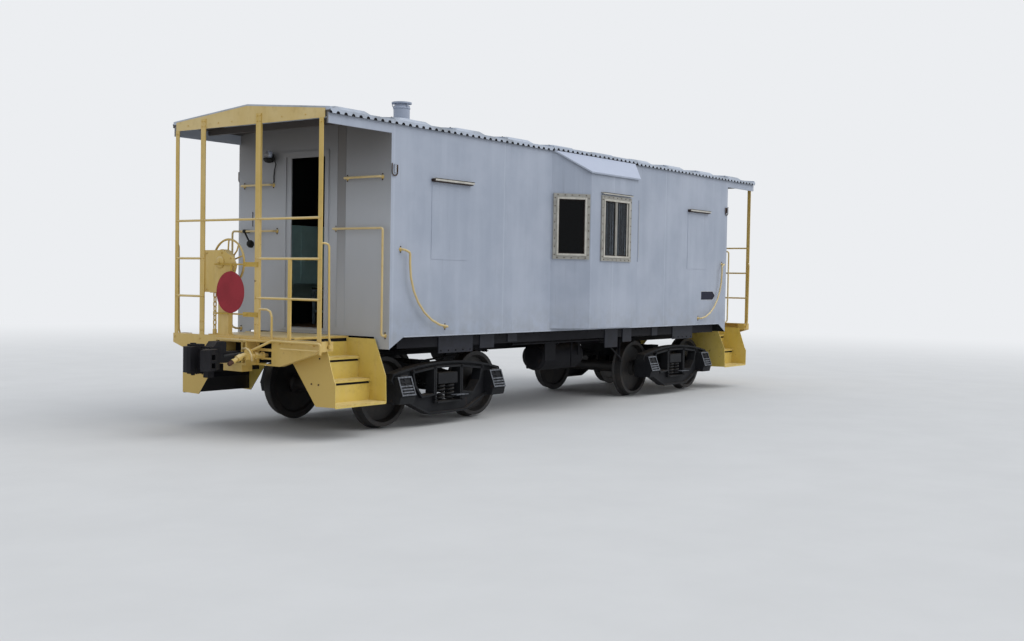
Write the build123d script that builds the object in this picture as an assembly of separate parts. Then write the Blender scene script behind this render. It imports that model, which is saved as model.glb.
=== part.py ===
# Bay window caboose: a steel railway car with a hollow cabin, a bay on each
# side, an open platform with steps, railings and a hand brake at each end,
# and two four-wheel trucks.
# Frame: +X along the car, +Y across it, +Z up. The origin is under the car's
# centre, at the lowest point of the wheel flanges. All sizes are millimetres.

from build123d import *
from math import atan2, cos, degrees, pi, sin
import os

# Body
BODY_HALF = 4186          # centre to the outer face of an end wall
BODY_Y = 1287             # centre to the outer face of a side wall
SILL_Z = 1115             # lower edge of the side walls
EAVE_Z = 3537             # upper edge of the side walls
WALL = 60                 # side and end walls, sheet and lining together
FLOOR_TOP = 1180
RIDGE_RISE = 115          # ridge above the eave
ROOF_T = 38               # roof sheet with its carlines, measured upwards
ROOF_Y = 1305             # centre to the roof's edge
CANOPY_HALF = 5175        # centre to the end of the roof

# Bay
BAY_X = 43                # middle of the bay along the car
BAY_FRONT_HALF = 615
BAY_BASE_HALF = 1058
BAY_DEPTH = 344
BAY_Z = 1150              # lower edge of the bay
BAY_TOP = 3270            # upper edge of the bay's front wall
BAY_WALL = 50

# End platforms
POST_FACE = 5195          # front of the end posts
POST_T = 10
RAIL_X = 5187             # middle of the rails between them
DECK_TOP = 1112
BEAM_TOP = 1096
DECK_Y = 650              # half width of the deck between the steps
BEAM_X = 5200             # outer face of the end beam
BEAM_T = 70               # its flanges, along the car
STEP_OUT = 5025           # outer stringer, against the beam's back
STEP_IN = 4215            # inner stringer

# Running gear
TRUCK_X = 2877            # truck centres from the car's centre
AXLE_HALF = 872           # half the wheelbase of a truck
TREAD_R = 419
FLANGE_R = 444
AXLE_Z = 444              # axle height, with the flange tips at zero
WHEEL_IN = 680            # inner face of a wheel
WHEEL_OUT = 818
COUPLER_Z = 870

os.makedirs("parts", exist_ok=True)

ON_BASE = (Align.CENTER, Align.CENTER, Align.MIN)


def save(name, *shapes):
    solids = [solid for shape in shapes for solid in shape.solids()]
    export_step(Compound(children=solids) if len(solids) > 1 else solids[0], f"parts/{name}.step")


def block(x0, x1, y0, y1, z0, z1):
    low = (min(x0, x1), min(y0, y1), min(z0, z1))
    size = (abs(x1 - x0), abs(y1 - y0), abs(z1 - z0))
    return Pos(*low) * Box(*size, align=(Align.MIN, Align.MIN, Align.MIN))


def plate_x(points, x0, x1, inset=0):
    """Plate across the car: an outline of (y, z) points, from x0 to x1."""
    face = make_face(Plane.YZ * Polyline(*points, close=True))
    if inset:
        face = offset(face, -inset)
    return Pos(min(x0, x1), 0, 0) * extrude(face, abs(x1 - x0), dir=(1, 0, 0))


def plate_y(points, y0, y1):
    """Plate along the car: an outline of (x, z) points, from y0 to y1."""
    face = make_face(Plane.XZ * Polyline(*points, close=True))
    return Pos(0, min(y0, y1), 0) * extrude(face, abs(y1 - y0), dir=(0, 1, 0))


def plate_z(points, z0, z1):
    """Plate lying flat: an outline of (x, y) points, from z0 to z1."""
    face = make_face(Polyline(*points, close=True))
    return Pos(0, 0, min(z0, z1)) * extrude(face, abs(z1 - z0), dir=(0, 0, 1))


def rod(start, end, radius):
    way = Vector(*end) - Vector(*start)
    return Plane(origin=start, z_dir=way) * Cylinder(radius, way.length, align=ON_BASE)


def bar(points, radius, bend=0, steps=2):
    """Thin bar through the points, with eight sides to keep the files light.

    Each corner is cut into a few mitred steps along an arc of radius bend.
    """
    corners = [Vector(*point) for point in points]
    path = [corners[0]]
    for before, corner, after in zip(corners, corners[1:], corners[2:]):
        way_in, way_out = (corner - before).normalized(), (after - corner).normalized()
        turn = way_in.get_angle(way_out)
        back = bend * sin(turn * pi / 360) / cos(turn * pi / 360)
        axle = way_in.cross(way_out).normalized()
        middle = corner - way_in * back + axle.cross(way_in) * bend
        arm = corner - way_in * back - middle
        for step in range(steps + 1):
            path.append(middle + arm.rotate(Axis((0, 0, 0), axle), turn * step / steps))
    path.append(corners[-1])
    section = Plane(origin=path[0], z_dir=path[1] - path[0]) * RegularPolygon(radius * 1.04, 8)
    return sweep(section, path=Polyline(*path), transition=Transition.RIGHT)


def disc_y(x, z, radius, y0, y1):
    return rod((x, min(y0, y1), z), (x, max(y0, y1), z), radius)


def far_side(shape):
    return mirror(shape, about=Plane.XZ)


def other_end(shape):
    return Rot(0, 0, 180) * shape


def both_sides(*shapes):
    return list(shapes) + [far_side(shape) for shape in shapes]


def both_ends(*shapes):
    return list(shapes) + [other_end(shape) for shape in shapes]


def save_both_ends(name, *shapes):
    save(f"{name}_left", *shapes)
    save(f"{name}_right", *[other_end(shape) for shape in shapes])


# Roof: a shallow gable the full length of the car, canopies included
def roof_z(y, lift=0):
    return EAVE_Z + lift + RIDGE_RISE * (1 - abs(y) / ROOF_Y)


PANELS = 10
ROOF_PITCH = 2 * CANOPY_HALF / PANELS     # one roof panel along the car
RIB_H = 50                # height of the diagonal pressing in each panel
RIB_DRAFT = 58            # lean of its sides, in degrees
RIB_SHIFT = 40            # beyond the panel's middle
# One pressing, seen from above the slope: (along the car, up the slope)
RIB = [(-400, -560), (210, -560), (400, 560), (-210, 560)]
CAP_H = 20                # caps over the seams between the panels


def gable(low, high, x0, x1):
    """A strip of the roof's section between two heights above its underside."""
    points = [(-ROOF_Y, EAVE_Z + low), (0, roof_z(0, low)), (ROOF_Y, EAVE_Z + low),
              (ROOF_Y, EAVE_Z + high), (0, roof_z(0, high)), (-ROOF_Y, EAVE_Z + high)]
    return plate_x(points, x0, x1)


def make_roof():
    roof = gable(0, ROOF_T, -CANOPY_HALF, CANOPY_HALF)
    slope = degrees(atan2(RIDGE_RISE, ROOF_Y))
    foot = roof_z(ROOF_Y / 2, ROOF_T - 2)
    rib = extrude(make_face(Polyline(*RIB, close=True)), RIB_H, taper=RIB_DRAFT)
    for panel in range(PANELS):
        middle = (panel + 0.5) * ROOF_PITCH - CANOPY_HALF
        for side in (-1, 1):
            place = Pos(middle + RIB_SHIFT, side * ROOF_Y / 2, foot)
            roof += place * Rot(-side * slope, 0, 0) * rib
    for seam in range(PANELS + 1):
        x = seam * ROOF_PITCH - CANOPY_HALF
        roof += gable(ROOF_T - 5, ROOF_T + CAP_H, max(x - 35, -CANOPY_HALF), min(x + 35, CANOPY_HALF))
    low = EAVE_Z - 55
    carline = [(-1250, low), (1250, low), (1250, EAVE_Z), (0, roof_z(0) + 1), (-1250, EAVE_Z)]
    for x in (-4690, 4690):           # one under each canopy
        roof += plate_x(carline, x - 15, x + 15)
    return roof


roof = make_roof()
save("roof", roof)


# Cabin walls
def make_side_wall():
    wall = block(-BODY_HALF, BODY_HALF, -BODY_Y, -BODY_Y + WALL, SILL_Z, EAVE_Z)
    wall -= block(BAY_X - BAY_BASE_HALF, BAY_X + BAY_BASE_HALF, -BODY_Y, -BODY_Y + WALL, BAY_Z, EAVE_Z - 60)
    skirt = [(BODY_HALF, SILL_Z), (BODY_HALF, 980), (3942, SILL_Z)]
    for side in (1, -1):
        points = [(side * x, z) for x, z in skirt]
        wall += plate_y(points, -BODY_Y, -BODY_Y + 10)
        wall += block(side * BODY_HALF, side * (BODY_HALF - 10), -BODY_Y, -1055, 980, SILL_Z)
    return wall


DOOR_Y0, DOOR_Y1 = -246, 420      # door opening, on the left end
DOOR_Z1 = 3225
CASING = 60               # frame round the opening, on the outer face
CASING_T = 14
STOP_Y, STOP_Z = 340, 3210        # door stop on the latch side and over the door


def make_end_wall():
    face = -BODY_HALF
    inner = BODY_Y - WALL
    outline = [(-inner, SILL_Z), (inner, SILL_Z), (inner, roof_z(inner)), (0, roof_z(0)),
               (-inner, roof_z(inner))]
    wall = plate_x(outline, face, face + WALL)
    wall += block(face - CASING_T, face, DOOR_Y0 - CASING, DOOR_Y1 + CASING, FLOOR_TOP - 30, DOOR_Z1 + CASING)
    wall -= block(face - CASING_T, face + WALL, DOOR_Y0, DOOR_Y1, FLOOR_TOP, DOOR_Z1)
    wall += block(face, face + 16, STOP_Y, DOOR_Y1, FLOOR_TOP, DOOR_Z1)
    wall += block(face, face + 16, DOOR_Y0, DOOR_Y1, STOP_Z, DOOR_Z1)
    return wall


side = make_side_wall()
save("side_wall_near", side)
save("side_wall_far", far_side(side))
save_both_ends("end_wall", make_end_wall())

# Floor, between the walls and resting on the underframe
inner_y = BODY_Y - WALL
save("floor", block(-BODY_HALF + WALL, BODY_HALF - WALL, -inner_y, inner_y, SILL_Z, FLOOR_TOP))


# Underframe: hollow centre sill with its centre plates, side sills, cross
# bearers and body bolsters between them
SILL_HALF = 160           # half width of the centre sill
SILL_BOTTOM = 806
SIDE_SILL = (1100, 1180)  # inner and outer face
BOLSTER_HALF = 150


def make_underframe():
    end = STEP_OUT
    sill = block(-end, end, -SILL_HALF, SILL_HALF, SILL_BOTTOM, DECK_TOP - 12)
    sill += block(-BODY_HALF + WALL, BODY_HALF - WALL, -SILL_HALF, SILL_HALF, SILL_BOTTOM, SILL_Z)
    sill -= block(-end, end, -SILL_HALF + 20, SILL_HALF - 20, SILL_BOTTOM + 14, DECK_TOP - 32)
    for x in (-TRUCK_X, TRUCK_X):
        sill += Pos(x, 0, 815.5) * Cylinder(SILL_HALF, 30)
    return sill


def make_side_sill():
    inner, outer = SIDE_SILL
    points = [(-inner, 975), (-outer, 975), (-outer, SILL_Z), (-inner, SILL_Z), (-inner, SILL_Z - 10),
              (-outer + 10, SILL_Z - 10), (-outer + 10, 985), (-inner, 985)]
    return plate_x(points, -3936, 3936)


def make_arm(x, half, root_z, tip_z, web):
    """Arm from the centre sill to the near side sill: a web on a bottom flange."""
    tip = SIDE_SILL[0]
    web_face = [(-SILL_HALF, root_z), (-tip, tip_z), (-tip, SILL_Z), (-SILL_HALF, SILL_Z)]
    flange = [(-SILL_HALF, root_z), (-tip, tip_z), (-tip, tip_z + 12), (-SILL_HALF, root_z + 12)]
    return plate_x(web_face, x - web, x + web) + plate_x(flange, x - half, x + half)


save("underframe", make_underframe())
save("side_sills", *both_sides(make_side_sill()))
# Arms: place along the car, half width of the flange, height of the flange at
# the centre sill and at the side sill, half width of the web
ARMS = [(-TRUCK_X, BOLSTER_HALF, 860, 1000, 120), (TRUCK_X, BOLSTER_HALF, 860, 1000, 120),
        (-1300, 50, 900, 985, 6), (-430, 50, 900, 985, 6), (430, 50, 900, 985, 6), (1300, 50, 900, 985, 6)]
save("cross_bearers", *both_sides(*[make_arm(*arm) for arm in ARMS]))


# Bays
def bay_outline(inset=0):
    """Half-plan of the near bay, moved in by the wall's thickness."""
    slope = atan2(BAY_DEPTH, BAY_BASE_HALF - BAY_FRONT_HALF)
    base = BAY_BASE_HALF - inset / sin(slope)
    front = BAY_FRONT_HALF - inset * (1 - cos(slope)) / sin(slope)
    depth = BAY_DEPTH - inset
    return base, front, depth


def bay_roof_z(y, lift=0):
    """Underside of the bay's roof at a distance y from the side wall."""
    return EAVE_Z - (EAVE_Z - BAY_TOP) * y / BAY_DEPTH + lift


def bay_prism(inset, z0, z1):
    base, front, depth = bay_outline(inset)
    points = [(BAY_X - base, -BODY_Y), (BAY_X - front, -BODY_Y - depth),
              (BAY_X + front, -BODY_Y - depth), (BAY_X + base, -BODY_Y)]
    return plate_z(points, z0, z1)


def under_bay_roof(lift):
    far = BAY_DEPTH + 100
    points = [(-BODY_Y, 1000), (-BODY_Y - far, 1000), (-BODY_Y - far, bay_roof_z(far, lift)),
              (-BODY_Y, bay_roof_z(0, lift))]
    return plate_x(points, BAY_X - 1500, BAY_X + 1500)


def make_bay():
    shell = bay_prism(0, BAY_Z, EAVE_Z) & under_bay_roof(0)
    room = bay_prism(BAY_WALL, BAY_Z + 40, EAVE_Z)
    bay = shell - room
    for place, half, z0, z1 in WINDOWS:
        bay -= place * block(-half, half, 0, BAY_WALL + 30, z0, z1)
    return bay


BAY_ANGLE = degrees(atan2(BAY_DEPTH, BAY_BASE_HALF - BAY_FRONT_HALF))
SLANT_X = (BAY_BASE_HALF + BAY_FRONT_HALF) / 2
# Windows of the near bay: the middle of the opening on the wall's outer face,
# half its width, its lower and upper edge
WINDOWS = [
    (Pos(BAY_X + 20, -BODY_Y - BAY_DEPTH, 0), 330, 2135, 2915),
    (Pos(BAY_X - SLANT_X, -BODY_Y - BAY_DEPTH / 2, 0) * Rot(0, 0, -BAY_ANGLE), 200, 2145, 2905),
    (Pos(BAY_X + SLANT_X, -BODY_Y - BAY_DEPTH / 2, 0) * Rot(0, 0, BAY_ANGLE), 200, 2145, 2905),
]
FRAME_BORDER = 60         # frame beyond the opening
FRAME_LIP = 15            # frame over the opening, in front of the glass
FRAME_T = 20


def make_window_frames():
    frames = []
    for place, half, z0, z1 in WINDOWS:
        outer, inner = half + FRAME_BORDER, half - FRAME_LIP
        ring = block(-outer, outer, -FRAME_T, 0, z0 - FRAME_BORDER, z1 + FRAME_BORDER)
        ring -= block(-inner, inner, -FRAME_T, 0, z0 + FRAME_LIP, z1 - FRAME_LIP)
        if half > 300:
            ring += block(-18, 18, -FRAME_T + 4, 0, z0 + FRAME_LIP, z1 - FRAME_LIP)
        frames.append(place * ring)
    return frames


def make_glass():
    return [place * block(-half, half, 0, 6, z0, z1) for place, half, z0, z1 in WINDOWS]


save("window_frames", *both_sides(*make_window_frames()))
save("glass", *both_sides(*make_glass()))


def make_bay_roof():
    base, front, depth = BAY_BASE_HALF, BAY_FRONT_HALF, BAY_DEPTH
    over = 25
    points = [(BAY_X - base - over, -BODY_Y), (BAY_X - front - over, -BODY_Y - depth - over),
              (BAY_X + front + over, -BODY_Y - depth - over), (BAY_X + base + over, -BODY_Y)]
    return plate_z(points, 3000, EAVE_Z) & under_bay_roof(22) - under_bay_roof(0)


bay = make_bay() + make_bay_roof()
save("bay_near", bay)
save("bay_far", far_side(bay))


# Doors. They stand open, swung into the cabin on the jamb beyond the car's
# middle line. Pins are at the inner face of the end wall.
DOOR_T = 40
DOOR_GAP = 8
DOOR_PIN_X = -BODY_HALF + WALL + 5
DOOR_PIN_Y = DOOR_Y0 + DOOR_GAP
DOOR_LEN = DOOR_Y1 - DOOR_Y0 - 2 * DOOR_GAP
DOOR_PANE = (140, DOOR_LEN - 140, 2300, 3060)     # along the leaf, then up
DOOR_PANEL = (110, DOOR_LEN - 110, 1330, 2130)
PANEL_DEPTH = 12
KNOB = (530, 2150)        # along the leaf, then up


def make_door():
    x, y = DOOR_PIN_X, DOOR_PIN_Y
    leaf = block(x, x + DOOR_LEN, y, y + DOOR_T, FLOOR_TOP + 10, DOOR_Z1 - DOOR_GAP)
    x0, x1, z0, z1 = DOOR_PANE
    leaf -= block(x + x0, x + x1, y, y + DOOR_T, z0, z1)
    x0, x1, z0, z1 = DOOR_PANEL
    for face in (y, y + DOOR_T - PANEL_DEPTH):
        leaf -= block(x + x0, x + x1, face, face + PANEL_DEPTH, z0, z1)
    along, up = KNOB
    leaf += bar([(x + along, y - 45, up), (x + along, y + DOOR_T + 45, up)], 9)
    for end in (y - 58, y + DOOR_T + 33):
        leaf += rod((x + along, end, up), (x + along, end + 25, up), 24)
    return leaf


def make_door_glass():
    x, y = DOOR_PIN_X, DOOR_PIN_Y + DOOR_T / 2
    x0, x1, z0, z1 = DOOR_PANE
    return block(x + x0, x + x1, y - 3, y + 3, z0, z1)


save_both_ends("door", make_door())
save_both_ends("door_glass", make_door_glass())


# End platforms. The front strip, on the beam, is a little lower than the deck.
STRIP_TOP = DECK_TOP - 4
STRIP_X = 5100            # joint between the strip and the deck
BEAM_FACE = [(-1248, 988), (-605, 795), (605, 795), (1248, 988), (1248, BEAM_TOP), (-1248, BEAM_TOP)]
BRAKE_PIPE_Y, BRAKE_PIPE_Z = -330, 905
DRAFT_SLOTS = [(815, 865), (885, 955), (985, 1045)]       # lower and upper edge
STRIKER_X = 5350          # front of the casting round the coupler's shank
STRIKER_Z = (722, 822, 1050, 1076)        # foot, opening from and to, top


def make_striker():
    foot, low, high, top = STRIKER_Z
    casting = block(-STRIKER_X, 12 - BEAM_X, -225, 225, 795, top)
    casting += block(-STRIKER_X, -BEAM_X, -155, 155, foot, 800)
    casting += block(-STRIKER_X - 12, -STRIKER_X, -235, 235, top - 16, top)
    casting -= block(-STRIKER_X, 12 - BEAM_X, -205, -165, low, high)
    casting -= block(-STRIKER_X, 12 - BEAM_X, 165, 205, low, high)
    return casting - block(-STRIKER_X, 12 - BEAM_X, -140, 140, low, high)


def make_corner(side):
    """Bracket from the tip of the beam back to the outer stringer."""
    plate = block(-BEAM_X, -STEP_OUT, side * 1236, side * 1248, 992, BEAM_TOP)
    plate -= disc_y(-5100, 1034, 20, -1300, 1300)
    return plate + block(-STEP_OUT - 12, -STEP_OUT, side * 1120, side * 1248, 992, BEAM_TOP)


def make_platform():
    back = BEAM_T - BEAM_X
    front = 12 - BEAM_X
    beam = plate_x(BEAM_FACE, -BEAM_X, back) - plate_x(BEAM_FACE, front, back, inset=12)
    for y in (-650, 650):
        beam += block(front, -STEP_OUT, y - 5, y + 5, 822, BEAM_TOP - 6)
    for z0, z1 in DRAFT_SLOTS:
        for side in (-1, 1):
            beam -= block(-BEAM_X, front, side * 262, side * 470, z0, z1)
            beam += block(front - 5, back, side * 245, side * 485, z1, z1 + 10)
    low, high = STRIKER_Z[1:3]
    beam = beam - block(-BEAM_X, back, -205, 205, low, high) + make_striker()
    y, z = BRAKE_PIPE_Y, BRAKE_PIPE_Z
    beam -= block(-BEAM_X, back, y - 30, y + 30, z - 30, z + 30)
    gusset = [(-BEAM_X, 480), (-STRIKER_X, 225), (-STRIKER_X, 190), (-BEAM_X, 190)]
    for side in (-1, 1):
        beam += plate_z([(x, side * across) for x, across in gusset], 1062, 1075)
        beam += make_corner(side)
    deck = block(-STRIP_X, -BODY_HALF, -DECK_Y, DECK_Y, DECK_TOP - 12, DECK_TOP)
    deck += block(30 - POST_FACE, -STRIP_X, -DECK_Y, DECK_Y, BEAM_TOP, STRIP_TOP)
    for side in (-1, 1):                                  # turned down edge
        deck += block(-STEP_OUT, -BODY_HALF, side * DECK_Y, side * (DECK_Y - 8), 1088, DECK_TOP - 6)
    return beam + deck


save_both_ends("platform", make_platform())

# Step stringer outline, (y, z) on the near side
OUTER_STRINGER = [(-620, 1020), (-620, 830), (-990, 372), (-1288, 378), (-1290, 630), (-1262, 682),
                  (-1145, 1020)]
INNER_STRINGER = [(-652, 1095), (-652, 1030), (-622, 830), (-990, 372), (-1288, 378), (-1277, 684),
                  (-1149, 983), (-1100, 1095)]
# Treads: front edge, back edge, height of the top, top of the riser behind it
TREADS = [(-1286, -1020, 398, 600), (-1046, -843, 645, 845), (-869, -652, 890, 1050)]
NOSE = 30                 # turned down front edge of a tread


def make_steps():
    out, inn = -STEP_OUT, -STEP_IN
    steps = plate_x(OUTER_STRINGER, out, out + 8) + plate_x(INNER_STRINGER, inn - 8, inn)
    for front, back, top, riser in TREADS:
        steps += block(out + 6, inn - 6, front, back, top - 6, top)
        steps += block(out + 6, inn - 6, front, front + 7, top - NOSE, top)
        steps += block(out + 6, inn - 6, back - 6, back, top - 6, riser)
    return steps


save_both_ends("steps", *both_sides(make_steps()))


# End railings and posts. The broad posts aren't symmetric: the hand brake
# stands between them.
BROAD_POSTS = (-212, 734)
BROAD_HALF = 40
CORNER_POST = (1172, 1232)        # inner and outer edge of the flat corner posts
FASCIA_LOW = EAVE_Z - 57
RAIL_TOP, RAIL_MID, RAIL_LOW = 2421, 1981, 1542
RAIL_R = 13
LOW_POST_Y = -735
HAND_Y = 1264             # corner handrails, outside the brackets
# One of them, from its post down to its foot: (along the car, across, up)
HAND = [(-RAIL_X, 1215, 2149), (-5118, HAND_Y, 2149), (-5106, HAND_Y, 1140), (-5078, HAND_Y, 1050)]


def make_railings():
    x = -RAIL_X
    inner, outer = CORNER_POST
    rail = bar([(x, -outer + 20, RAIL_TOP), (x, outer - 20, RAIL_TOP)], RAIL_R)
    for z in (RAIL_MID, RAIL_LOW):
        rail += bar([(x, -outer + 20, z), (x, BROAD_POSTS[0], z)], RAIL_R)
        rail += bar([(x, BROAD_POSTS[1], z), (x, outer - 20, z)], RAIL_R)
    for side in (-1, 1):
        rail += block(-POST_FACE, POST_T - POST_FACE, side * inner, side * outer, BEAM_TOP, FASCIA_LOW)
        rail += bar([(along, side * across, z) for along, across, z in HAND], 11, 40)
        rail += block(-5105, -5052, side * 1248, side * (HAND_Y + 8), 1018, 1062)
    for y in BROAD_POSTS:
        out = BROAD_HALF if y > 0 else -BROAD_HALF
        rail += block(-POST_FACE, POST_T - POST_FACE, y - BROAD_HALF, y + BROAD_HALF, BEAM_TOP, EAVE_Z + 55)
        rail += block(-POST_FACE, 26 - POST_FACE, y + out, y + out * 0.8, BEAM_TOP, FASCIA_LOW)
    rail += block(x - 10, x + 10, LOW_POST_Y - 22, LOW_POST_Y + 22, BEAM_TOP, RAIL_MID)
    side_y = BROAD_POSTS[0] - BROAD_HALF + 5
    rail += bar([(x, side_y, 1418), (x, side_y - 205, 1418), (x, side_y - 205, BEAM_TOP)], 12, 80)
    return rail


save_both_ends("railings", make_railings())


# Canopy: the fascia across the end of the roof, and the side boards
FASCIA_HALF = 1240


def make_canopy():
    y = FASCIA_HALF
    top = roof_z(y, ROOF_T)
    outline = [(-y, FASCIA_LOW), (y, FASCIA_LOW), (y, top), (0, roof_z(0, ROOF_T)), (-y, top)]
    return plate_x(outline, -CANOPY_HALF - 10, -CANOPY_HALF)


def make_canopy_board():
    return block(-CANOPY_HALF, -BODY_HALF, -BODY_Y, -BODY_Y + 25, 3422, EAVE_Z)


save("canopy_boards", *both_ends(*both_sides(make_canopy_board())))
save("canopy_ends", *both_ends(make_canopy()))


# Hand brake between the two broad posts: a geared housing on a column, the
# wheel towards the platform and a chain down to the deck
HUB = (425, 1937)         # wheel centre: across, up
WHEEL_X = 5062            # plane of the wheel's rim
WHEEL_RIM = 280
HOUSING = [(722, 1592), (722, 2077), (390, 2077), (220, 2010), (160, 1900), (200, 1790), (330, 1680),
           (330, 1592)]
LINK_H, LINK_W, WIRE = 74, 44, 11


def make_link():
    half_h, half_w = LINK_H / 2, LINK_W / 2
    low = [(-half_w, -half_h + 16), (-half_w + 14, -half_h), (half_w - 14, -half_h), (half_w, -half_h + 16)]
    outer = low + [(-y, -z) for y, z in low]
    return plate_x(outer, -WIRE / 2, WIRE / 2) - plate_x(outer, -WIRE / 2, WIRE / 2, inset=WIRE)


def make_hand_brake():
    x = POST_T - POST_FACE
    y, z = HUB
    brake = plate_x(HOUSING, x, x + 26)
    brake += rod((x + 26, y, z), (x + 96, y, z), 150)
    case = [(y - 110, z - 150), (y - 110, 1640), (y + 130, 1640), (y + 130, z - 60)]
    brake += plate_x(case, x + 26, x + 86)
    brake += block(x + 20, x + 80, 300, 480, STRIP_TOP, 1660)
    brake += block(x + 20, x + 84, 285, 495, STRIP_TOP, STRIP_TOP + 12)
    brake += rod((x + 96, y, z), (-WHEEL_X + 12, y, z), 20)
    brake += rod((-WHEEL_X - 34, y, z), (-WHEEL_X + 14, y, z), 42)
    rim = Plane(origin=(-WHEEL_X, y, z + WHEEL_RIM - 13), z_dir=(0, 1, 0)) * RegularPolygon(13, 6)
    wheel = revolve(rim, Axis((-WHEEL_X, y, z), (1, 0, 0)), 360)
    for spoke in range(5):
        turn = 2 * pi * spoke / 5
        tip = (-WHEEL_X, y + (WHEEL_RIM - 16) * sin(turn), z + (WHEEL_RIM - 16) * cos(turn))
        wheel += bar([(-WHEEL_X - 20, y, z), tip], 9)
    pitch = LINK_H - 2 * WIRE + 1
    count = 8
    first = 1592 - LINK_H / 2 + 4
    for link in range(count):
        place = Pos(x + 60, 585, first - link * pitch)
        brake += place * (make_link() if link % 2 else Rot(0, 0, 90) * make_link())
    brake += block(x + 50, x + 70, 560, 610, STRIP_TOP, first - (count - 1) * pitch - LINK_H / 2 + WIRE)
    return brake + block(x + 20, x + 80, 540, 630, 1585, 1640) + wheel


save_both_ends("hand_brake", make_hand_brake())

# Red disc in front of the posts, on two bars from the near broad post
DISC_Y, DISC_Z, DISC_R = 205, 1599, 236
DISC_BARS = (1353, 1915)


def make_disc():
    x = -POST_FACE
    disc = rod((x - 28, DISC_Y, DISC_Z), (x - 22, DISC_Y, DISC_Z), DISC_R)
    disc += block(x - 22, x - 6, DISC_Y - 12, DISC_Y + 12, DISC_BARS[0], DISC_BARS[1])
    for z in DISC_BARS:
        disc += bar([(x - 10, -60, z), (x - 10, 498, z)], 9)
        disc += block(x - 10, x, BROAD_POSTS[0] - 20, 5, z - 26, z + 26)
    return disc


save("end_discs", *both_ends(make_disc()))


# Couplers: shank, head with its guard arm and lugs, and the knuckle between
# them. Outlines are (forward of the shoulder, across), seen from above.
SHOULDER_X = 5600
HEAD = [(0, -85), (60, -120), (130, -190), (245, -226), (335, -214), (350, -188), (300, -160), (230, -118),
        (185, -60), (172, 15), (185, 60), (190, 120), (160, 178), (80, 178), (20, 125), (0, 85)]
KNUCKLE = [(130, 62), (200, 52), (258, 26), (318, 12), (343, 48), (336, 112), (298, 166), (232, 200),
           (155, 194)]
LUG = [(80, 62), (195, 62), (250, 92), (256, 152), (212, 194), (138, 192), (78, 168)]
HORN = [(-95, 930), (-95, 1048), (-80, 1062), (30, 1062), (75, 1010), (130, 1000), (130, 930)]


def coupler_plate(points, z0, z1, corner):
    face = make_face(Polyline(*[(-SHOULDER_X - f, across) for f, across in points], close=True))
    face = fillet(face.vertices(), corner)
    return Pos(0, 0, z0) * extrude(face, z1 - z0, dir=(0, 0, 1))


def make_coupler():
    low, high = COUPLER_Z - 140, COUPLER_Z + 140
    shank = block(-SHOULDER_X - 20, -4720, -72, 72, 824, 946)
    shank += plate_y([(-SHOULDER_X - f, z) for f, z in HORN], -78, 70)
    head = coupler_plate(HEAD, low + 25, high - 25, 10)
    knuckle = coupler_plate(KNUCKLE, low, high, 9)
    for z0, z1 in ((low - 22, low + 10), (high - 10, high + 22)):
        head += coupler_plate(LUG, z0, z1, 16)
    pin = rod((-SHOULDER_X - 190, 132, low - 40), (-SHOULDER_X - 190, 132, high + 36), 22)
    cap = rod((-SHOULDER_X - 190, 132, high + 22), (-SHOULDER_X - 190, 132, high + 34), 34)
    lock = block(-SHOULDER_X - 140, -SHOULDER_X - 60, -60, 20, low - 62, high)
    for f, z in ((70, COUPLER_Z + 30), (70, COUPLER_Z - 60), (185, COUPLER_Z + 30), (185, COUPLER_Z - 60)):
        head -= Pos(-SHOULDER_X - f, -200, z) * Box(66, 110, 58)      # cored pockets in its side
    return shank + head + knuckle + pin + cap + lock


save_both_ends("coupler", make_coupler())


# Uncoupling lever along the front of the deck, in two brackets, and a sill
# grab on the beam under it
LEVER_X, LEVER_Z = 5232, 1075
SILL_GRAB = (-1232, -656, 996)    # ends across, and height


def make_cut_lever():
    points = [(-LEVER_X, -1262, LEVER_Z - 120), (-LEVER_X, -1262, LEVER_Z), (-LEVER_X, -505, LEVER_Z),
              (-5345, -262, LEVER_Z - 128), (-5575, -128, LEVER_Z - 172)]
    lever = bar(points, 14, 25)
    for y in (-1130, -600):
        lever += block(-BEAM_X, -LEVER_X, y - 20, y + 20, LEVER_Z - 30, LEVER_Z - 12)
    return lever


def make_sill_grab():
    y0, y1, z = SILL_GRAB
    x = -BEAM_X - 52
    return bar([(-BEAM_X, y0, z), (x, y0, z), (x, y1, z), (-BEAM_X, y1, z)], 9, 20)


save("cut_levers", *both_ends(make_cut_lever(), make_sill_grab()))


# Brake pipe out of the beam, with its angle cock and a short hose end
def make_brake_pipe():
    y, z = BRAKE_PIPE_Y, BRAKE_PIPE_Z
    pipe = bar([(-BEAM_X + 60, y, z), (-5350, y, z), (-5470, y + 6, z + 18), (-5600, y + 18, z - 48)], 25, 60)
    pipe += rod((-BEAM_X - 12, y, z), (-BEAM_X, y, z), 44) + rod((-5290, y, z), (-5330, y, z), 38)
    pipe += rod((-5420, y + 3, z - 35), (-5420, y + 3, z + 72), 36)
    pipe += rod((-5505, y + 10, z), (-5555, y + 14, z - 25), 36)
    handle = [(-5440, z + 72), (-5405, z + 86), (-5365, z + 70), (-5335, z - 40), (-5347, z - 44),
              (-5378, z + 58), (-5405, z + 72)]
    return pipe + plate_y(handle, y - 12, y + 18)


save("brake_pipes", *both_ends(make_brake_pipe()))


# Trucks, modelled round their own centre and then moved to both places
def to_trucks(name, *shapes):
    save(f"{name}_left", *[Pos(-TRUCK_X, 0, 0) * shape for shape in shapes])
    save(f"{name}_right", *[Pos(TRUCK_X, 0, 0) * shape for shape in shapes])


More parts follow.
